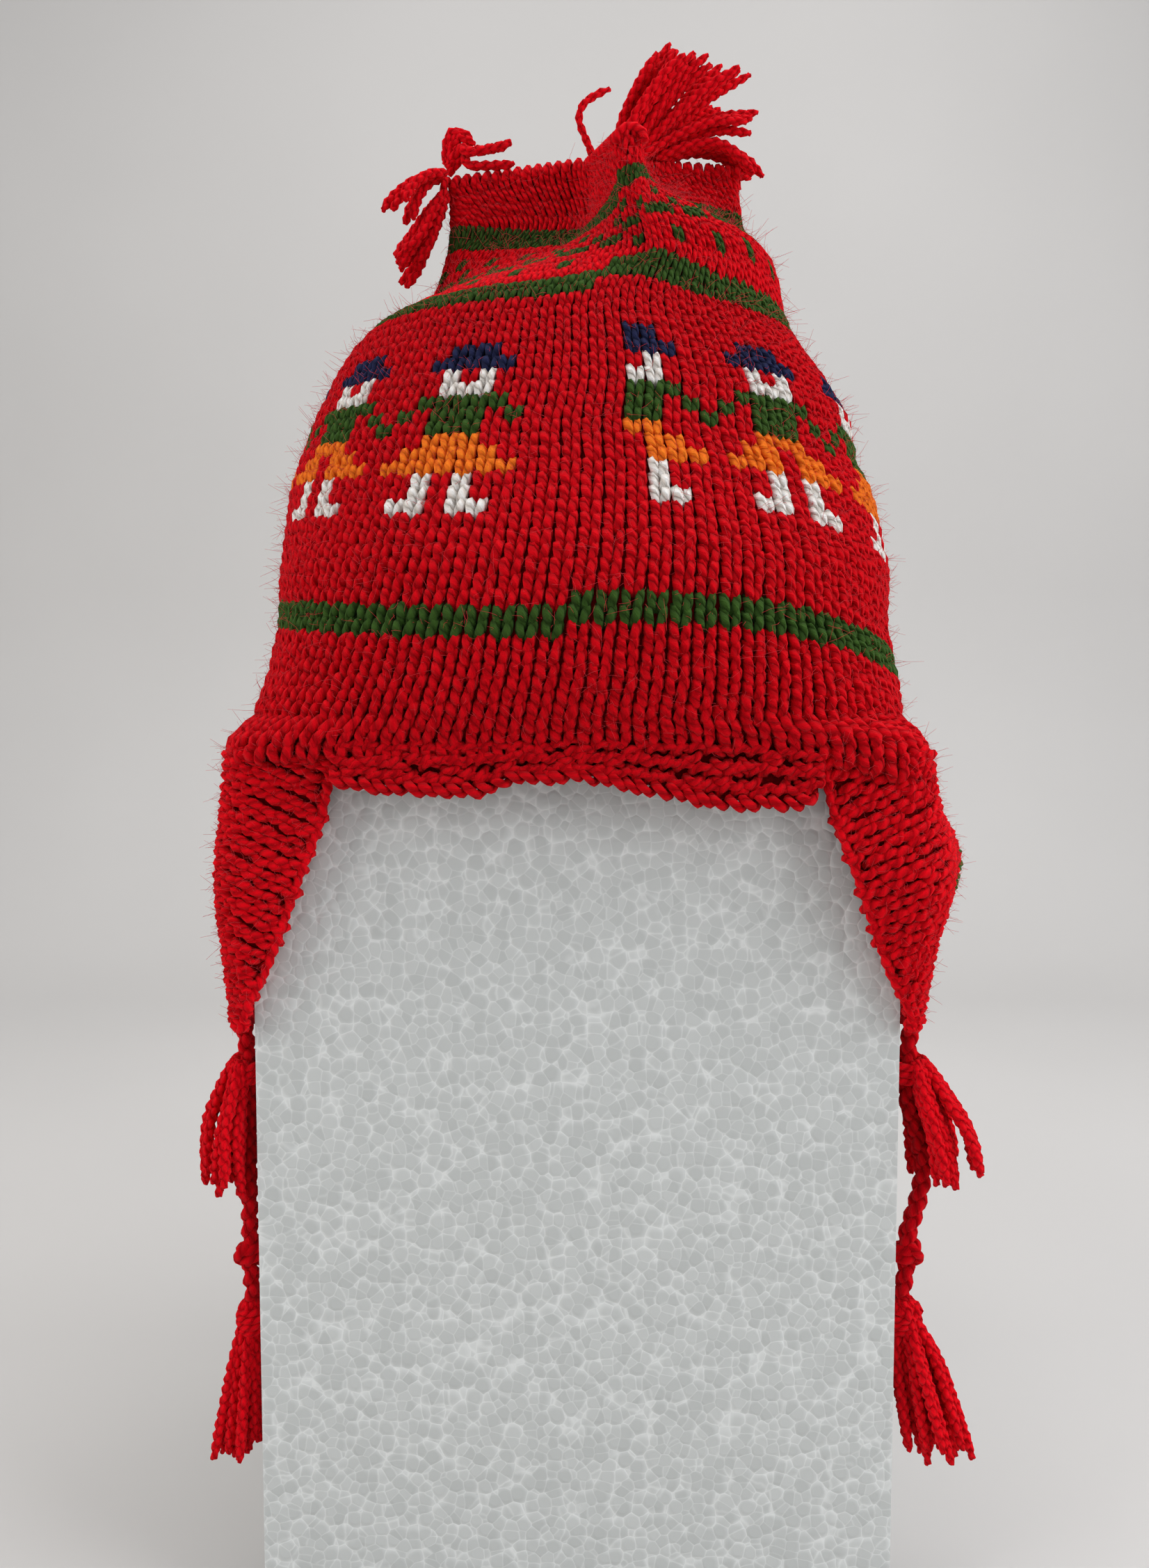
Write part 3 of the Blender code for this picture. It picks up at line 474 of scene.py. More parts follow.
# Loose strands: their twist and spacing of points, and how far out and how thick each ply is,
# in radii of the strand
PLY_PITCH, PLY_SPACING, PLY_SWING, PLY_RADIUS = 0.0058, 0.0012, 0.42, 0.66
PLY_TAPER = (0.0, 0.08, 0.88, 1.0), (0.8, 1.0, 1.0, 0.62)


def add_plied(yarn, points, radius):
    """One loose strand as two plies wound round each other."""
    rough = smooth_path(points, 20)
    length = np.linalg.norm(np.diff(rough, axis=0), axis=1).sum()
    count = max(8, int(length / PLY_SPACING))
    middle = smooth_path(points, count)[None]
    _, side, other = frames(middle)
    turn = TURN * np.linspace(0.0, length, count) / PLY_PITCH + rng.uniform(0.0, TURN)
    taper = np.interp(np.linspace(0, 1, count), *PLY_TAPER)
    for start in (0.0, math.pi):
        swing = (side * np.cos(turn + start)[None, :, None]
                 + other * np.sin(turn + start)[None, :, None])
        yarn.add(middle + swing * (radius * PLY_SWING * taper)[None, :, None],
                 radius * PLY_RADIUS * taper)


# The crown's surface
def solve_rising(function, low, high):
    """Where a rising function passes zero."""
    for _ in range(40):
        middle = (low + high) / 2
        low, high = (low, middle) if function(middle) > 0 else (middle, high)
    return (low + high) / 2


def hem_section():
    half_width = BLOCK_WIDTH / 2 + WALL + HEM_SIDE_EASE
    half_depth = BLOCK_DEPTH / 2 + WALL + HEM_FRONT_EASE
    x_share = (BLOCK_WIDTH / 2 + GAP) / (half_width - WALL)
    y_share = (BLOCK_DEPTH / 2 + GAP) / (half_depth - WALL)
    squareness = solve_rising(lambda n: 1.0 - x_share**n - y_share**n, 2.0, 60.0)
    return half_width, half_depth, squareness


HEM = hem_section()
SECTIONS = table(CROWN_COLUMNS, CROWN_SECTIONS)
SCALES = {"height": CROWN_HEIGHT, "half_width": HEAD_WIDTH / 2, "half_depth": HEAD_DEPTH / 2,
          "squareness": 1.0, "shift": TOP_SHIFT, "fold": 1.0}
SECTIONS = {key: np.concatenate([[first], SECTIONS[key] * SCALES[key]])
            for key, first in zip(CROWN_COLUMNS, (0.0, *HEM, 0.0, 0.0))}
CORNER = table(CORNER_COLUMNS, CORNERS)


def rounded(angles, section, inward=0.0):
    """Points of a rounded section, before it is folded."""
    power = 2.0 / section["squareness"]
    x, y = np.cos(angles), np.sin(angles)
    return np.stack([np.sign(x) * (section["half_width"] - inward) * np.abs(x) ** power,
                     np.sign(y) * (section["half_depth"] - inward) * np.abs(y) ** power], -1)


def crown_ring(angles, height, inward=0.0):
    """Ring of the crown at a height above the hem; its wall folds into the top's corners."""
    section = row_at(SECTIONS, "height", max(height, 0.0))
    tips = np.radians(CORNER["angle_deg"])
    spans = (np.roll(tips, -1) - tips) % TURN
    shares = ((angles[:, None] - tips) % TURN) / spans
    valley = np.argmax(shares <= 1.0, axis=1)
    share = shares[np.arange(len(angles)), valley]
    near = np.where(share < 0.5, valley, (valley + 1) % len(tips))
    direction = np.where(share < 0.5, tips[valley], tips[valley] + spans[valley])
    along = np.abs(1.0 - 2.0 * share)
    tip = np.clip((along - TIP_START) / (1.0 - TIP_START), 0.0, 1.0)
    middle = WALL * SEAM_MIDDLE
    reach = middle + along * (CORNER["reach"][near] * CORNER_REACH - middle) - inward
    thick = np.where(share < 0.5, 1.0, -1.0) * (WALL * np.sqrt(1.0 - tip**2) - inward * FOLD_PINCH)
    star = np.stack([np.cos(direction) * reach - np.sin(direction) * thick,
                     np.sin(direction) * reach + np.cos(direction) * thick], -1)
    closed = height / CROWN_HEIGHT - CORNER["closes_from"][valley]
    closed /= CORNER["closes_to"][valley] - CORNER["closes_from"][valley]
    closed = np.clip(closed, 0.0, 1.0)
    amount = (closed * closed * (3.0 - 2.0 * closed))[:, None]
    flat = rounded(angles, section, inward) * (1.0 - amount) + star * amount
    drop = section["fold"] * along * CORNER["drop"][near] * CORNER_DROP
    z = HEM_HEIGHT + height - drop
    return np.concatenate([flat + [section["shift"], 0.0], z[:, None]], axis=1)


def tilt(x, z):
    """How far a row rides up at a place, from how the hat sits on the block."""
    left = np.interp(z, TILT_HEIGHTS, TILT_LEFT_MM) * MM
    right = np.interp(z, TILT_HEIGHTS, TILT_RIGHT_MM) * MM
    share = np.clip(np.abs(x) / TILT_SPAN, 0.0, 1.0) ** TILT_POWER
    return np.where(x < 0.0, left, right) * share


def ridge_lift(x, y, z):
    """How far rows ride up the front ridge of the folded top."""
    lift = np.interp(z, RIDGE_HEIGHTS, (0.0, RIDGE_LIFT))
    return np.where(y < 0.0, lift * np.exp(-((x - RIDGE_X) / RIDGE_SPAN) ** 2), 0.0)


def column_surface():
    """Crown surface as (levels, half columns, 3), its columns evenly spaced from the seam."""
    angles = np.linspace(-math.pi, math.pi, RING_POINTS)
    levels = []
    for height in np.linspace(LOWEST, CROWN_HEIGHT, LEVELS):
        ring = crown_ring(angles, height)
        plain = rounded(angles, row_at(SECTIONS, "height", max(height, 0.0)))
        polar = np.unwrap(np.arctan2(plain[:, 1], plain[:, 0]))
        polar += -math.pi - polar[0]
        seam = math.radians(np.interp(HEM_HEIGHT + height, SEAM_HEIGHTS, SEAM_DEGREES))
        lengths = distances(ring)
        start = np.interp(np.interp(seam, polar, angles), angles, lengths)
        share = np.arange(2 * COLUMNS) / (2 * COLUMNS)
        share = share + FRONT_STRETCH * np.sin(TURN * share) / TURN
        places = (start + lengths[-1] * share) % lengths[-1]
        levels.append(np.stack([np.interp(places, lengths, ring[:, k]) for k in range(3)], -1))
    return np.array(levels)


def knit_grid():
    """Places, outward normals and column widths on a grid of quarter rows and half columns."""
    surface = column_surface()
    x, y, z = surface[..., 0], surface[..., 1], surface[..., 2]
    marked = np.interp(z - tilt(x, z) - ridge_lift(x, y, z), ROW_HEIGHTS, ROW_MARKS)
    lengths = distances(surface)
    wanted = np.arange(GRID_START, ROWS + GRID_STEP / 2, GRID_STEP)
    levels = np.arange(len(surface))
    grid = np.empty((len(wanted), z.shape[1], 3))
    for j in range(z.shape[1]):
        at_fold = np.interp(ROW_HEIGHTS[-1], z[:, j], lengths[:, j])
        row_there = np.interp(ROW_HEIGHTS[-1], z[:, j], marked[:, j])
        share = (lengths[:, j] - at_fold) / (lengths[-1, j] - at_fold)
        above = row_there + (ROWS - row_there) * np.maximum(share, 0.0) ** FOLD_POWER
        rows = np.where(share > 0.0, above, marked[:, j])
        level = np.interp(wanted, rows, levels)
        for k in range(3):
            grid[:, j, k] = np.interp(level, levels, surface[:, j, k])
    across = np.roll(grid, -1, axis=1) - np.roll(grid, 1, axis=1)
    normals = unit(np.cross(across, np.gradient(grid, axis=0)))
    return grid, normals, np.linalg.norm(across, axis=2, keepdims=True)


def sample(grid, rows, columns):
    """Values between the grid's points; columns wrap round."""
    r = np.clip((rows - GRID_START) / GRID_STEP, 0.0, grid.shape[0] - 1.001)
    c = (columns * 2.0) % grid.shape[1]
    r0, c0 = r.astype(int), c.astype(int) % grid.shape[1]
    c1 = (c0 + 1) % grid.shape[1]
    up, over = (r - r0)[..., None], (c - np.floor(c))[..., None]
    low = grid[r0, c0] * (1 - over) + grid[r0, c1] * over
    high = grid[r0 + 1, c0] * (1 - over) + grid[r0 + 1, c1] * over
    return low * (1 - up) + high * up


def chart_letter(row, column):
    """Yarn colour of a stitch."""
    start, band = [pair for pair in BANDS if pair[0] <= row][-1]
    if band == "lattice":
        return LATTICE[len(LATTICE) - 1 - (row - start)][column % 4]
    if band != "figures":
        return band
    column = (column - FIGURE_START) % COLUMNS
    line = len(FIGURE) - 1 - (row - start)
    figure, place = divmod(column + FIGURE_MIDDLE, FIGURE_COLUMNS)
    if figure == FIGURE_COUNT or figure == 0 and place < FIGURE_MIDDLE:
        return "R"
    if place == FIGURE_MIDDLE and line in TROUSER_LINES and figure in TROUSERS:
        return "R"
    return FIGURE[line][place]


def make_crown(wools):
    """Every stitch of the crown as two bulging legs, sorted by colour."""
    grid, normals, widths = knit_grid()
    chosen = {}
    for row in range(ROWS):
        for column in range(COLUMNS):
            chosen.setdefault((chart_letter(row, column), row), []).append(column)
    yarns = {}
    for (letter, row), columns in chosen.items():
        part = row // RED_PART_ROWS if letter == "R" else 0
        yarn = yarns.setdefault((letter, part), Yarn())
        middle = np.array(columns) + 0.5
        jog = (0.5 - middle / COLUMNS)[:, None]
        for sign in (-1.0, 1.0):
            shake = rng.normal(0.0, SHAKE_SIDE, (len(middle), 1))
            rows = row + jog + LEG_ROWS + rng.normal(0.0, SHAKE_UP, (len(middle), 1))
            places = middle[:, None] + sign * LEG_SPREAD + shake
            width = sample(widths, rows, places)
            share = np.interp(row, *LEG_RADIUS)
            size = share * width * rng.normal(1.0, SHAKE_SIZE, (len(middle), 1, 1))
            depth = LEG_DEPTH[:, None] + rng.normal(0.0, SHAKE_DEPTH, (len(middle), 1, 1))
            paths = sample(grid, rows, places) + sample(normals, rows, places) * depth * size
            yarn.add(paths, size[..., 0] * LEG_THICKNESS, LEG_SIDES)
    names = {"G": "green", "N": "navy", "W": "white", "O": "orange"}
    for (letter, part), yarn in yarns.items():
        # The topmost red rows take the paler red, painted light
        material = wools["top"] if part == TOP_PART else wools[letter]
        yarn.build(f"knit_{names.get(letter, f'red_{part}')}", material, "knit_red", "crown")
    return grid, normals


# How far the crown's lining lies behind its surface and below its top seam
LINING_DEPTH, LINING_TOP_DROP = 0.0020, 0.0015
# Whip stitch over the top seam, first half: metres across the seam, outward and up
SEAM_STITCH = ((-0.0034, -0.0012, -0.0030), (-0.0030, -0.0008, -0.0006),
               (-0.0012, -0.0003, 0.0008))
SEAM_STITCHES, SEAM_RADIUS = 15, 0.00105


def make_lining(material):
    """Inner wall behind the stitches, painted dark as shade, closed where the top folds shut."""
    angles = np.linspace(0.0, TURN, 128, endpoint=False)
    heights = np.concatenate([SECTIONS["height"], np.linspace(0.01, 0.155, 24)])
    heights = np.unique(np.round(heights, 4))
    outer = [crown_ring(angles, height, LINING_DEPTH) for height in heights]
    inner = [crown_ring(angles, height, WALL) for height in heights if height < HOLLOW_HEIGHT]
    outer[-1][:, 2] -= LINING_TOP_DROP
    rings = np.array(inner[::-1] + outer)
    rings_piece("crown_lining", rings, material, "knit_red", "crown")


def make_top_seam(material):
    """Whip stitches over the top edge of each folded corner."""
    yarn = Yarn()
    centre = np.array((SECTIONS["shift"][-1], 0.0, HEM_HEIGHT + CROWN_HEIGHT))
    stitch = (*SEAM_STITCH, *[(-across, -lean, up) for across, lean, up in SEAM_STITCH[::-1]])
    for k in range(len(CORNERS)):
        turn = math.radians(CORNER["angle_deg"][k])
        out = np.array((math.cos(turn), math.sin(turn), 0.0))
        side = np.array((-out[1], out[0], 0.0))
        reach = CORNER["reach"][k] * CORNER_REACH
        fall = CORNER["drop"][k] * CORNER_DROP
        for share in np.linspace(0.03, 1.0, SEAM_STITCHES):
            place = centre + out * reach * share - np.array((0.0, 0.0, fall * share))
            path = [place + side * across + out * lean + np.array((0.0, 0.0, up))
                    for across, lean, up in stitch]
            yarn.add([path], SEAM_RADIUS)
    yarn.build("top_seam", material, "knit_red", "crown")


# Border and flaps. Profiles of single stitches, in metres: along, outward, up
PURL = ((-0.0020, -0.0016, -0.00040), (-0.0011, -0.0002, 0.00050), (0.0, 0.0002, 0.00085),
        (0.0011, -0.0002, 0.00050), (0.0020, -0.0016, -0.00040))
PURL_STEP, PURL_RADIUS = 0.0032, 0.00098
# Rows of purl bumps: share of the border's height, metres outward, and which way they bow
PURL_ROWS = ((0.97, 0.0002, 1.0), (0.80, 0.0002, -1.0), (0.61, 0.0002, 1.0),
             (0.42, 0.0001, -1.0), (0.24, 0.0000, 1.0))
ROLL = ((-0.0021, -0.0004, 0.0020), (-0.0012, 0.0006, 0.0012), (0.0002, 0.0003, 0.0),
        (0.0012, -0.0012, -0.0003), (0.0018, -0.0030, 0.0008))
ROLL_STEP, ROLL_RADIUS = 0.0033, 0.00112
# Border's wall behind its stitches: metres outward and share of the border's height
BORDER_WALL = ((-0.0022, 1.0), (-0.0024, 0.35), (-0.0016, 0.12), (-0.0028, 0.08),
               (-0.0034, 0.5), (-0.0034, 1.0))
BORDER_OVERLAP, BORDER_WALL_RISE = 0.0006, 0.0010


def hem_front(x, outward):
    half_width, half_depth, power = HEM
    share = (abs(x) / (half_width + outward)) ** power
    return np.array((x, -(half_depth + outward) * (1.0 - share) ** (1.0 / power), 0.0))


def hem_side(angle, outward):
    half_width, half_depth, power = HEM
    x = abs(math.cos(angle)) / (half_width + outward)
    y = abs(math.sin(angle)) / (half_depth + outward)
    reach = (x**power + y**power) ** (-1.0 / power)
    return np.array((reach * math.cos(angle), reach * math.sin(angle), 0.0))


def purl_row(yarn, place, length, z_share, outward, bow):
    """Row of purl bumps, each a short bar that bows up or down and stands out in its middle."""
    for base in np.arange(0.0016 + 0.0008 * bow, length, PURL_STEP):
        shake, lift = rng.normal(0.0, 0.0004), rng.normal(0.0, 0.00050)
        slant = rng.normal(0.12, 0.16)
        path = [place(np.clip(base + shake + along, 0.0, length), outward + proud, z_share,
                      lift + bow * rise + slant * along) for along, proud, rise in PURL]
        yarn.add([path], PURL_RADIUS * rng.normal(1.0, 0.07))


def make_border(name, start, end, edge, place_on_hem, wools, lining):
    """Border of purl rows over a rolled lower edge."""
    shares = np.linspace(0.0, 1.0, 200)
    lengths = distances([place_on_hem(start + (end - start) * share, 0.0) for share in shares])
    drops = list(zip(*edge))

    def place(distance, outward, z_share, lift=0.0):
        share = float(np.interp(distance, lengths, shares))
        spot = place_on_hem(start + (end - start) * share, outward)
        low = HEM_HEIGHT - np.interp(share, *drops) * BORDER_DEPTH
        high = ROW_HEIGHTS[1] + tilt(spot[0], ROW_HEIGHTS[1]) + BORDER_OVERLAP
        return np.array((spot[0], spot[1], low + (high - low) * z_share + lift))

    yarn = Yarn()
    for z_share, outward, bow in PURL_ROWS:
        purl_row(yarn, place, lengths[-1], z_share, outward, bow)
    for base in np.arange(0.0016, lengths[-1], ROLL_STEP):
        shake, lift = rng.normal(0.0, 0.0003), rng.normal(0.0, 0.0003)
        path = [place(np.clip(base + shake + along, 0.0, lengths[-1]), outward, 0.0, lift + up)
                for along, outward, up in ROLL]
        yarn.add([smooth_path(path, 7)], ROLL_RADIUS * rng.normal(1.0, 0.07))
    yarn.build(f"{name}_yarn", wools["R"], "border_red", name)
    rings = np.array([[place(distance, outward, z) for outward, z in BORDER_WALL]
                      for distance in np.linspace(0.0005, lengths[-1] - 0.0005, 60)])
    rings[:, [0, -1], 2] = np.maximum(rings[:, [0, -1], 2], HEM_HEIGHT + BORDER_WALL_RISE)
    rings_piece(f"{name}_lining", rings[:, ::-1], lining, "border_red", name)


FLAPS = table(FLAP_COLUMNS, FLAP_ROWS)
# How far a flap's middle swells out, how its side flares, and how much thinner its tip is
BULGE_MIDDLE, BULGE_WIDTH = 0.42, 0.20
BULGE = {"left": 0.0004, "right": 0.0024}
FLARE_ALONG, FLARE_WIDTH, FLARE = 0.026, 0.014, {"left": 0.0, "right": 0.0040}
TIP_THINNING = {"left": 0.0016, "right": 0.0026}
RIDGE_PITCH, BUMP_STEP, BUMP_RADIUS, BUMP_MARGIN = 0.0050, 0.0031, 0.00108, 0.0012
# How steeply a garter ridge rises backwards, up to its bend and behind it
RIDGE_TURN, SLOPE_BEFORE, SLOPE_AFTER = 0.004, 0.45, 0.12
# Garter bump: metres along, up and outward. Chained edge: metres down, inward and outward.
BUMP = ((-0.0020, 0.0001, -0.0022), (-0.0011, 0.0010, -0.0004), (0.0, 0.0013, 0.0002),
        (0.0011, 0.0010, -0.0004), (0.0020, 0.0001, -0.0022))
CHAIN = ((-0.0020, 0.0011, -0.0014), (-0.0010, 0.0003, -0.0004), (0.0, -0.0001, -0.0004),
         (0.0010, 0.0003, -0.0010), (0.0020, 0.0011, -0.0024))
CHAIN_STEP, CHAIN_RADIUS = 0.0027, 0.00112
# Green patch: its middle behind the block's corner and below the hem, and its half widths
PATCH_MIDDLE, PATCH_SIZE = (0.024, 0.0345), (0.0085, 0.0095)


def flap_edges(depth):
    """Where a flap's front and rear edges lie behind the block's corner."""
    row = row_at(FLAPS, "down", depth / FLAP_LENGTH)
    return -row["front"] * FLAP_WIDTH, row["rear"] * FLAP_WIDTH


def flap_place(name, along, depth, proud=0.0):
    """Point of a flap's outer face at a distance behind the block's corner, depth below the hem."""
    down = depth / FLAP_LENGTH
    row = row_at(FLAPS, "down", down)
    front, rear = flap_edges(depth)
    places = (front, max(0.0, front) + 0.001, (max(0.0, front) + rear) / 2 + 0.001, rear)
    rises = [row[key] for key in ("front_rise", "corner_rise", "side_rise", "rear_rise")]
    rise = float(np.interp(along, places, rises)) * FLAP_RISE * FLAP_BULGE[name]
    swell = math.exp(-((down - BULGE_MIDDLE) / BULGE_WIDTH) ** 2)
    rise += swell * (BULGE[name]
                     + FLARE[name] * math.exp(-((along - FLARE_ALONG) / FLARE_WIDTH) ** 2))
    rise += proud - TIP_THINNING[name] * max(0.0, down - 0.6) / 0.4
    turn = min(max(along / FLAP_TURN + 0.5, 0.0), 1.0) * math.pi / 2
    x = BLOCK_WIDTH / 2 + min(along + FLAP_TURN / 2, 0.0) + rise * math.sin(turn)
    y = -BLOCK_DEPTH / 2 + max(along - FLAP_TURN / 2, 0.0) - rise * math.cos(turn)
    return np.array((SIDE[name] * x, y, HEM_HEIGHT - GAP - depth))


def ridge_slope(along):
    """How much deeper a garter ridge lies at a distance behind the block's corner."""
    return -SLOPE_BEFORE * min(along, RIDGE_TURN) - SLOPE_AFTER * max(along - RIDGE_TURN, 0.0)


def make_flap(name, wools, lining):
    """Garter-stitch flap: slanted ridges of interlocked bumps and a chained edge."""
    red, green = Yarn(), Yarn()
    for ridge in range(-8, 24):
        for line, offset in ((1.0, 0.0), (-1.0, BUMP_STEP / 2)):
            for along in np.arange(-0.030 + offset, 0.066, BUMP_STEP):
                depth = ridge * RIDGE_PITCH + ridge_slope(along) + rng.normal(0.0, 0.00034)
                if not 0.0008 < depth < FLAP_LENGTH - 0.0006:
                    continue
                front, rear = flap_edges(depth)
                if not front + BUMP_MARGIN < along < rear - BUMP_MARGIN:
                    continue
                path = []
                for across, up, proud in BUMP:
                    spot = depth - line * up + ridge_slope(along + across) - ridge_slope(along)
                    spot = float(np.clip(spot, 0.0, FLAP_LENGTH))
                    path.append(flap_place(name, along + across, spot, proud))
                off = [abs(value - middle) / size for value, middle, size
                       in zip((along, depth), PATCH_MIDDLE, PATCH_SIZE)]
                yarn = green if sum(off) < 1.0 else red
                yarn.add([path], BUMP_RADIUS * rng.normal(1.0, 0.09))
    for edge, turn in enumerate((-1.0, 1.0)):
        for base in np.arange(0.001, FLAP_LENGTH, CHAIN_STEP):
            path = []
            for low, inside, proud in CHAIN:
                depth = float(np.clip(base + low, 0.0, FLAP_LENGTH))
                border = flap_edges(depth)[edge]
                path.append(flap_place(name, border - turn * inside, depth, proud))
            red.add([path], CHAIN_RADIUS * rng.normal(1.0, 0.06))
    for base in np.arange(0.0005, flap_edges(FLAP_LENGTH)[1], CHAIN_STEP):
        path = [flap_place(name, base + low, FLAP_LENGTH - inside, proud)
                for low, inside, proud in CHAIN]
        red.add([path], CHAIN_RADIUS)
    node = f"flap_{name}"
    # The garter takes the paler flap red, painted light
    red.build(f"{node}_garter", wools["flap"], "knit_red", node)
    green.build(f"{node}_motif", wools["G"], "knit_red", node)

    rings = []
    for depth in np.linspace(0.0, FLAP_LENGTH - 0.0006, 34):
        front, rear = flap_edges(depth)
        spots = np.linspace(front + 0.0006, rear - 0.0006, 28)
        outer = [flap_place(name, along, depth, -0.0019) for along in spots]
        inner = [flap_place(name, along, depth, -FLAP_WALL + 0.0004) for along in spots[::-1]]
        rings.append(outer + inner)
    rings = np.array(rings)
    rings_piece(f"{node}_lining", rings if name == "left" else rings[:, ::-1], lining,
                "knit_red", node)


# Tie cords, their knots and tassels
# The plait's strands swing across it and, twice as often, in and out
PLAIT_PITCH, PLAIT_SWINGS, PLAIT_RADIUS = 0.0125, (0.00155, 0.00070), 0.00135
KNOT_TURNS, KNOT_RADIUS, KNOT_RISE, KNOT_POINTS = 2.2, 0.00215, 0.0022, 40
TASSEL_STRANDS, TASSEL_RADIUS, TOP_RADIUS, LOOSE_RADIUS = 24, 0.00142, 0.00138, 0.00112
UPPER_SPREAD = {"left": 0.0085, "right": 0.0124}
LOWER_SPREAD = {"left": 0.0058, "right": 0.0092}
LOWER_LEAN = {"left": 0.0030, "right": 0.0088}
# How tassels open: shares of the way down and of the full spread
UPPER_FAN = ((0.0, 0.0), (0.07, 0.16), (0.30, 0.55), (0.60, 0.90), (1.0, 1.0))
LOWER_FAN = ((0.0, 0.15), (0.06, 0.36), (0.16, 0.30), (0.40, 0.70), (1.0, 1.0))
LOWER_WINDINGS = (0.0026, 0.0031, 0.0031, 0.0027)


def add_winding(yarn, centre, size, slope, radius):
    """Slanting turn of yarn round a tassel's head."""
    turns = np.linspace(0.0, TURN, 22)
    yarn.add([centre + np.stack([size * np.cos(turns), size * np.sin(turns),
                                 slope * np.sin(turns)], -1)], radius)


def cord_place(name, height, outward, backward=0.0):
    x = BLOCK_WIDTH / 2 + GAP + CORD_DIAMETER / 2 + outward
    return np.array((SIDE[name] * x, -BLOCK_DEPTH / 2 + CORD_BACK + backward, height))


def cord_line(name):
    """Tie cord's route from the flap's tip, through the knot, to the end tassel."""
    knot = cord_place(name, *KNOT_CENTRES[name])
    return [cord_place(name, HEM_HEIGHT - FLAP_LENGTH - 2 * GAP, CORD_TOP_OVERHANG),
            *[cord_place(name, *row) for row in CORD_ROUTES[name]],
            knot + (0, 0, KNOT_HEIGHT / 2 + GAP), knot, knot - (0, 0, KNOT_HEIGHT / 2 + GAP),
            cord_place(name, LOWER_TASSEL_TOP + GAP, 0.0004)]


def make_cord(name, material):
    """Three-strand plait along the route."""
    middle = smooth_path(cord_line(name), PLAIT_POINTS)
    length = float(np.linalg.norm(np.diff(middle, axis=0), axis=1).sum())
    _, side, other = frames(middle[None])
    phase = TURN * np.linspace(0.0, length, len(middle)) / PLAIT_PITCH
    yarn = Yarn()
    for k in range(3):
        turn = phase + TURN * k / 3
        offset = (side[0] * (PLAIT_SWINGS[0] * np.sin(turn))[:, None]
                  + other[0] * (PLAIT_SWINGS[1] * np.sin(2 * turn))[:, None])
        yarn.add([middle + offset], PLAIT_RADIUS)
    cord = yarn.build(f"plait_{name}", material, "cord_red",
                      f"tie_cord_{name}", f"tie_cord_end_{name}")
    return cord, smooth_path(cord_line(name), ROUTE_POINTS), length


def make_knot(name, material):
    """Overhand knot: two turns of cord with a strand passing over them."""
    centre = cord_place(name, *KNOT_CENTRES[name])
    yarn = Yarn()
    turns = np.linspace(0.0, KNOT_TURNS * TURN, KNOT_POINTS)
    rise = np.linspace(-KNOT_RISE, KNOT_RISE, KNOT_POINTS)
    path = centre + np.stack([KNOT_RADIUS * np.cos(turns), KNOT_RADIUS * np.sin(turns), rise], -1)
    yarn.add([path], 0.00145, 8)
    side = SIDE[name]
    over = centre + np.array(((0, -0.0012, 0.0030), (side * 0.0012, -0.0030, 0.0016),
                              (side * 0.0024, -0.0024, 0.0), (side * 0.0022, -0.0012, -0.0016),
                              (0, 0.0008, -0.0030)))
    yarn.add([smooth_path(over, 14)], 0.00120, 8)
    return yarn.build(f"tied_knot_{name}", material, "cord_red", f"knot_{name}")


def make_upper_tassel(name, material):
    """Strands tied round the tie cord, hanging down its outer side."""
    heights, shifts = [[row[k] for row in CORD_ROUTES[name][::-1]] for k in (0, 1)]
    yarn = Yarn()
    for k in range(TASSEL_STRANDS):
        share = (k + 0.5) / TASSEL_STRANDS
        angle = math.radians(-84 + 168 * share) + rng.normal(0.0, 0.06)
        out = np.array((SIDE[name] * math.cos(angle), math.sin(angle), 0.0))
        width = UPPER_SPREAD[name] * (0.50 + 0.50 * math.cos(angle)) * rng.uniform(0.25, 1.0)
        length = UPPER_TASSEL_LENGTH * rng.uniform(0.78, 0.94)
        route = []
        for down, reach in UPPER_FAN:
            height = UPPER_TASSEL_TOP - 0.0005 - down * length
            spot = cord_place(name, height, np.interp(height, heights, shifts))
            wiggle = rng.normal(0.0, 0.0005, 3) * down
            route.append(spot + out * (CORD_DIAMETER / 2 + 0.0004 + width * reach) + wiggle)
        add_plied(yarn, route, TASSEL_RADIUS)
    for k in range(3):
        centre = cord_place(name, UPPER_TASSEL_TOP - 0.0012 - 0.0017 * k, 0.0006)
        add_winding(yarn, centre, 0.0037, 0.0008, 0.0010)
    return yarn.build(f"tassel_{name}", material, "tassel_red", f"tassel_upper_{name}")


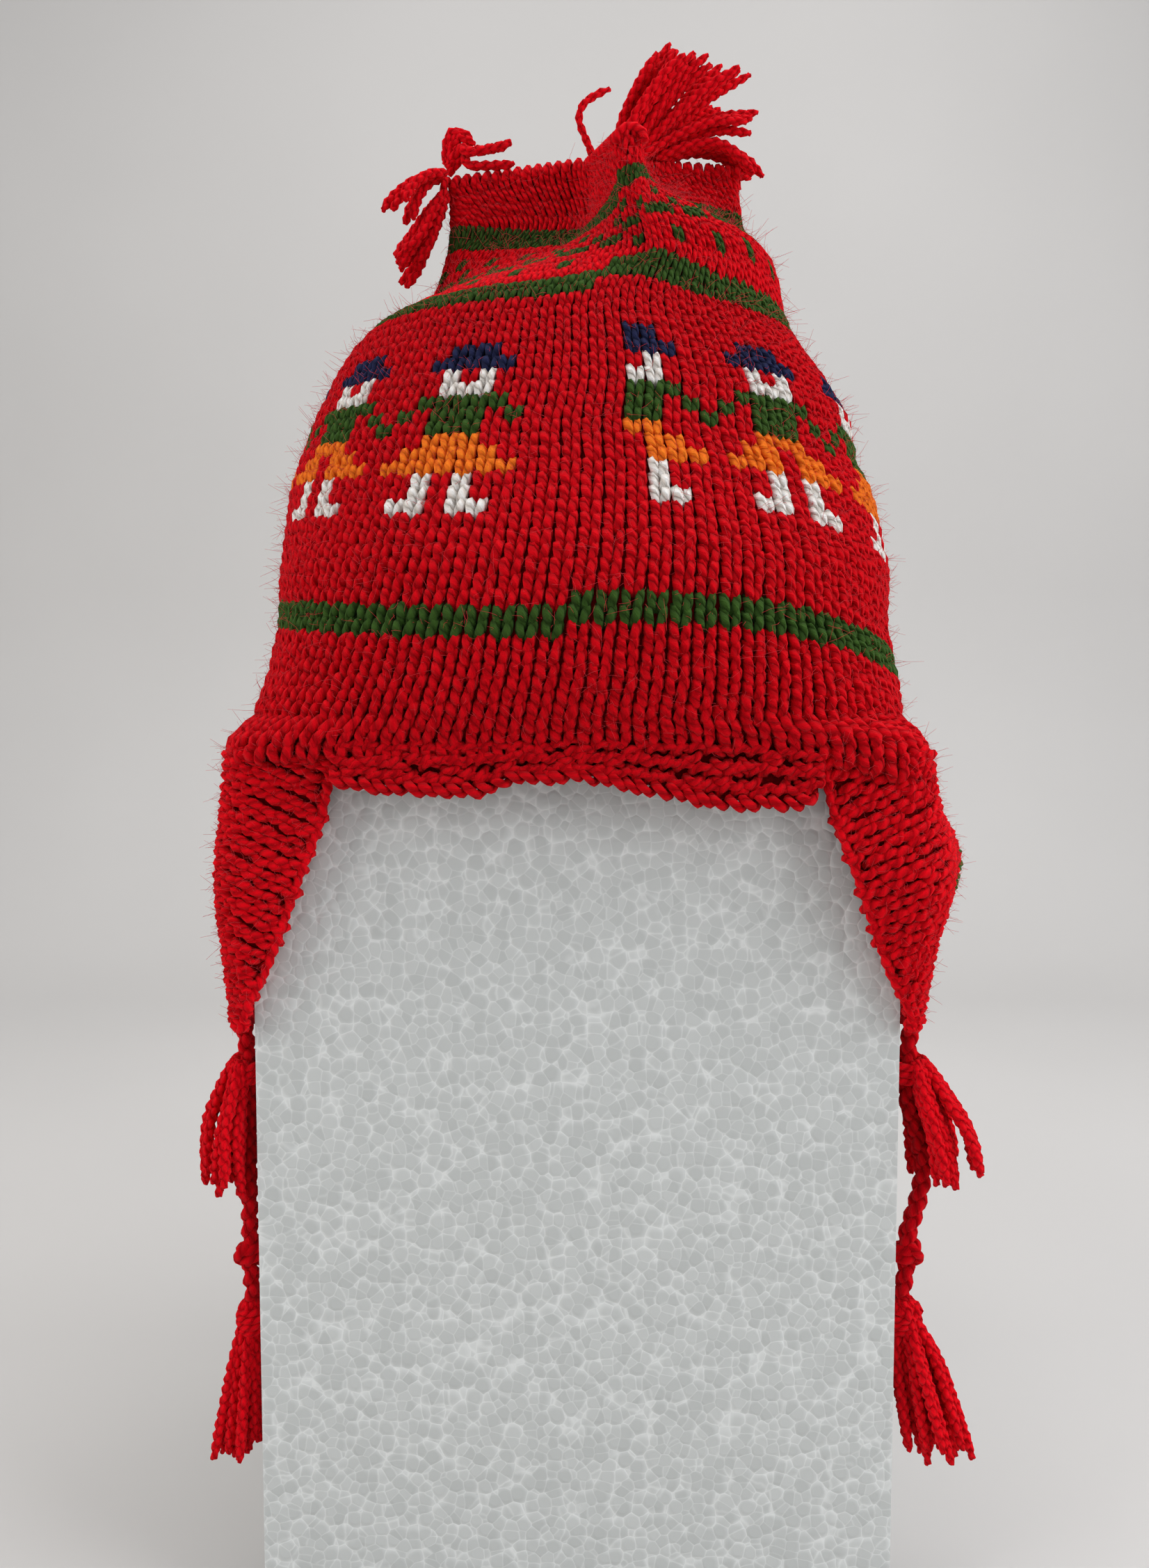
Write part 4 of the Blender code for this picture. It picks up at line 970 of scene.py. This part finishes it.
def make_lower_tassel(name, material):
    """End tassel: a wound head over a fan of strands."""
    side, inside = SIDE[name], BLOCK_WIDTH / 2 + 0.0016
    root = cord_place(name, LOWER_TASSEL_TOP, 0.0008)
    yarn = Yarn()
    for k in range(TASSEL_STRANDS):
        angle = TURN * (k * 0.618) + rng.normal(0.0, 0.1)
        out = np.array((math.cos(angle), math.sin(angle), 0.0)) * LOWER_SPREAD[name]
        ring = math.sqrt((k + 0.5) / TASSEL_STRANDS)
        length = LOWER_TASSEL_LENGTH * rng.uniform(0.84, 1.0)
        route = []
        for down, reach in LOWER_FAN:
            wiggle = rng.normal(0.0, 0.0006, 3) * down
            fall = np.array((side * LOWER_LEAN[name] * down, 0.0, -down * length))
            spot = root + out * ring * reach + fall + wiggle
            spot[0] = side * max(abs(spot[0]), inside)
            route.append(spot)
        add_plied(yarn, route, TASSEL_RADIUS)
    for k, size in enumerate(LOWER_WINDINGS):
        centre = cord_place(name, LOWER_TASSEL_TOP - 0.0022 - 0.0016 * k, 0.0008)
        add_winding(yarn, centre, size, 0.0006, 0.00095)
    return yarn.build(f"end_tassel_{name}", material, "tassel_red", f"tassel_lower_{name}")


def add_copies(yarn, strand, sway_start, sway, step):
    """Three strands along one drawn route, the later ones swaying further from it."""
    for copy in range(3):
        drift = np.linspace(sway_start, 1.0, len(strand))[:, None] * rng.normal(0.0, sway * copy, 3)
        add_plied(yarn, (np.array(strand) + drift + np.array(step) * copy) * MM, TOP_RADIUS)


def make_top_tassels(material):
    """Crest tassel, the loose yarn end in front of it and the left corner's tassel."""
    crest, corner = Yarn(), Yarn()
    for strand in CREST_STRANDS:
        add_copies(crest, strand, 0.0, 1.2, (0.6, 1.2, 0.0))
    add_plied(crest, np.array(LOOSE_END) * MM, LOOSE_RADIUS)
    for strand in CORNER_STRANDS:
        add_copies(corner, strand, 0.3, 1.1, (0.0, 0.0, 0.0))
    crest.build("crest_strands", material, "tassel_red", "crest_tassel")
    corner.build("corner_strands", material, "tassel_red", "corner_tassel")


# Loose fibres: how many, and their longest lengths
CROWN_FIBRES, FLAP_FIBRES = 7800, 2000
HAIR_POINTS, HAIR_SHORTEST, HAIR_CURL, HAIR_RADII = 3, 0.0010, 0.62, (0.000060, 0.000026)
CROWN_HAIR, FLAP_HAIR = 0.0042, 0.0026


def fibres(yarn, places, normals, longest):
    """Short curved hairs that leave the surface."""
    count = len(places)
    heading = unit(normals * rng.uniform(0.25, 1.0, (count, 1)) + rng.normal(0, 0.6, (count, 3)))
    bend = unit(rng.normal(0.0, 1.0, (count, 3)))
    length = HAIR_SHORTEST + longest * rng.uniform(0.0, 1.0, (count, 1)) ** 2
    t = np.linspace(0.0, 1.0, HAIR_POINTS)[None, :, None]
    paths = (places[:, None] + heading[:, None] * length[:, None] * t
             + bend[:, None] * length[:, None] * HAIR_CURL * t**2)
    yarn.add(paths, np.linspace(*HAIR_RADII, HAIR_POINTS)[None], 3)


def make_fuzz(grid, normals, material):
    """Wool halo over the crown and flaps."""
    for name in ("low", "high"):
        yarn = Yarn()
        rows = rng.uniform(0.0, ROWS - 0.5, CROWN_FIBRES)
        columns = rng.uniform(0.0, COLUMNS, CROWN_FIBRES)
        fibres(yarn, sample(grid, rows, columns), sample(normals, rows, columns), CROWN_HAIR)
        yarn.build(f"fuzz_crown_{name}", material, "knit_red", "crown")
    for name in SIDE:
        yarn = Yarn()
        spots, outs = [], []
        while len(spots) < FLAP_FIBRES:
            depth, along = rng.uniform(0.0, FLAP_LENGTH), rng.uniform(-0.027, 0.063)
            front, rear = flap_edges(depth)
            if front < along < rear:
                spot = flap_place(name, along, depth)
                spots.append(spot)
                outs.append(unit(flap_place(name, along, depth, 0.001) - spot))
        fibres(yarn, np.array(spots), np.array(outs), FLAP_HAIR)
        yarn.build(f"fuzz_{name}", material, "knit_red", f"flap_{name}")


# Floor, backdrop and lights
FLOOR_FRONT, FLOOR_BACK, FLOOR_DROP = -1.2, 0.55, 0.0002
SWEEP, BACKDROP_TOP, STAGE_HALF = 0.35, 1.8, 1.6
LIGHTS = (  # name, place, height aimed at, size, watts, colour
    ("left", (-0.95, -0.36, 0.55), 0.22, 0.8, 6.2, (1.0, 0.985, 0.96)),
    ("right", (0.95, -0.36, 0.55), 0.22, 0.8, 8.6, (0.97, 0.98, 1.0)),
    ("top", (0.12, 0.02, 1.35), 0.25, 1.0, 10.5, (1.0, 1.0, 1.0)),
)
WORLD_COLOUR, WORLD_STRENGTH = (0.95, 0.97, 1.0, 1.0), 0.29


def make_stage():
    """Floor that curves up into a backdrop, just under the block's foot."""
    profile = [(FLOOR_FRONT, 0.0), (FLOOR_BACK, 0.0)]
    profile += [(FLOOR_BACK + SWEEP * math.sin(a), SWEEP - SWEEP * math.cos(a))
                for a in np.linspace(0.15, math.pi / 2, 12)]
    profile += [(FLOOR_BACK + SWEEP, BACKDROP_TOP)]
    points = [(x, y, z - FLOOR_DROP) for y, z in profile for x in (-STAGE_HALF, STAGE_HALF)]
    faces = [(2 * k, 2 * k + 1, 2 * k + 3, 2 * k + 2) for k in range(len(profile) - 1)]
    mesh = bpy.data.meshes.new("studio")
    mesh.from_pydata(points, [], faces)
    mesh.shade_smooth()
    mesh.materials.append(paper())
    stage = bpy.data.objects.new("studio", mesh)
    bpy.context.scene.collection.objects.link(stage)


def make_lights():
    for name, place, height, size, power, colour in LIGHTS:
        light = bpy.data.lights.new(name, "AREA")
        light.size, light.energy, light.color = size, power, colour
        holder = bpy.data.objects.new(name, light)
        holder.location = place
        aim = Vector((0.0, 0.0, height)) - Vector(place)
        holder.rotation_euler = aim.to_track_quat("-Z", "Y").to_euler()
        bpy.context.scene.collection.objects.link(holder)
    world = bpy.data.worlds.new("world")
    world.use_nodes = True
    inputs = world.node_tree.nodes["Background"].inputs
    inputs["Color"].default_value = WORLD_COLOUR
    inputs["Strength"].default_value = WORLD_STRENGTH
    bpy.context.scene.world = world
    bpy.context.scene.view_settings.view_transform = "Standard"


def main():
    make_camera()
    wools = {letter: wool(f"wool_{letter}", colour) for letter, colour in COLOURS.items()}
    # Paler copies of the red for the top rows, flaps and tassels: painted light
    wools["top"] = wool("wool_top_painted_light", scaled(COLOURS["R"], TOP_PAINTED_LIGHT))
    wools["flap"] = wool("wool_flap_painted_light", scaled(COLOURS["R"], FLAP_PAINTED_LIGHT))
    tassel_wool = wool("wool_tassel_painted_light", scaled(COLOURS["R"], TASSEL_PAINTED_LIGHT), 0.9, 2.0)
    lining = backing()
    for name in SIDE:
        cord, route, length = make_cord(name, wools["R"])
        knot = make_knot(name, wools["R"])
        tassels = [make_upper_tassel(name, tassel_wool), make_lower_tassel(name, tassel_wool)]
        make_flap(name, wools, lining)
    grid, normals = make_crown(wools)
    make_lining(lining)
    # The seam's stitches take the paler top red too, painted light
    make_top_seam(wools["top"])
    inner = BLOCK_WIDTH / 2 + flap_edges(0.0)[0] + FLAP_TURN / 2 - 2 * GAP
    make_border("brow_border", -inner, inner, BROW_EDGE, hem_front, wools, lining)
    rear = flap_place("right", flap_edges(0.0)[1], 0.0)
    start = math.atan2(rear[1] + WALL / 2, rear[0])
    make_border("nape_border", start, math.pi - start, NAPE_EDGE, hem_side, wools, lining)
    make_top_tassels(tassel_wool)
    # The fuzz hairs glow faintly: painted light, not a lamp
    glow = {"Emission Color": FUZZ_GLOW, "Emission Strength": GLOW_STRENGTH}
    make_fuzz(grid, normals, wool("wool_fuzz", FUZZ_RED, 0.3, glow=glow))
    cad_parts["foam_block"].data.materials.clear()
    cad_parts["foam_block"].data.materials.append(foam())
    make_stage()
    make_lights()


main()
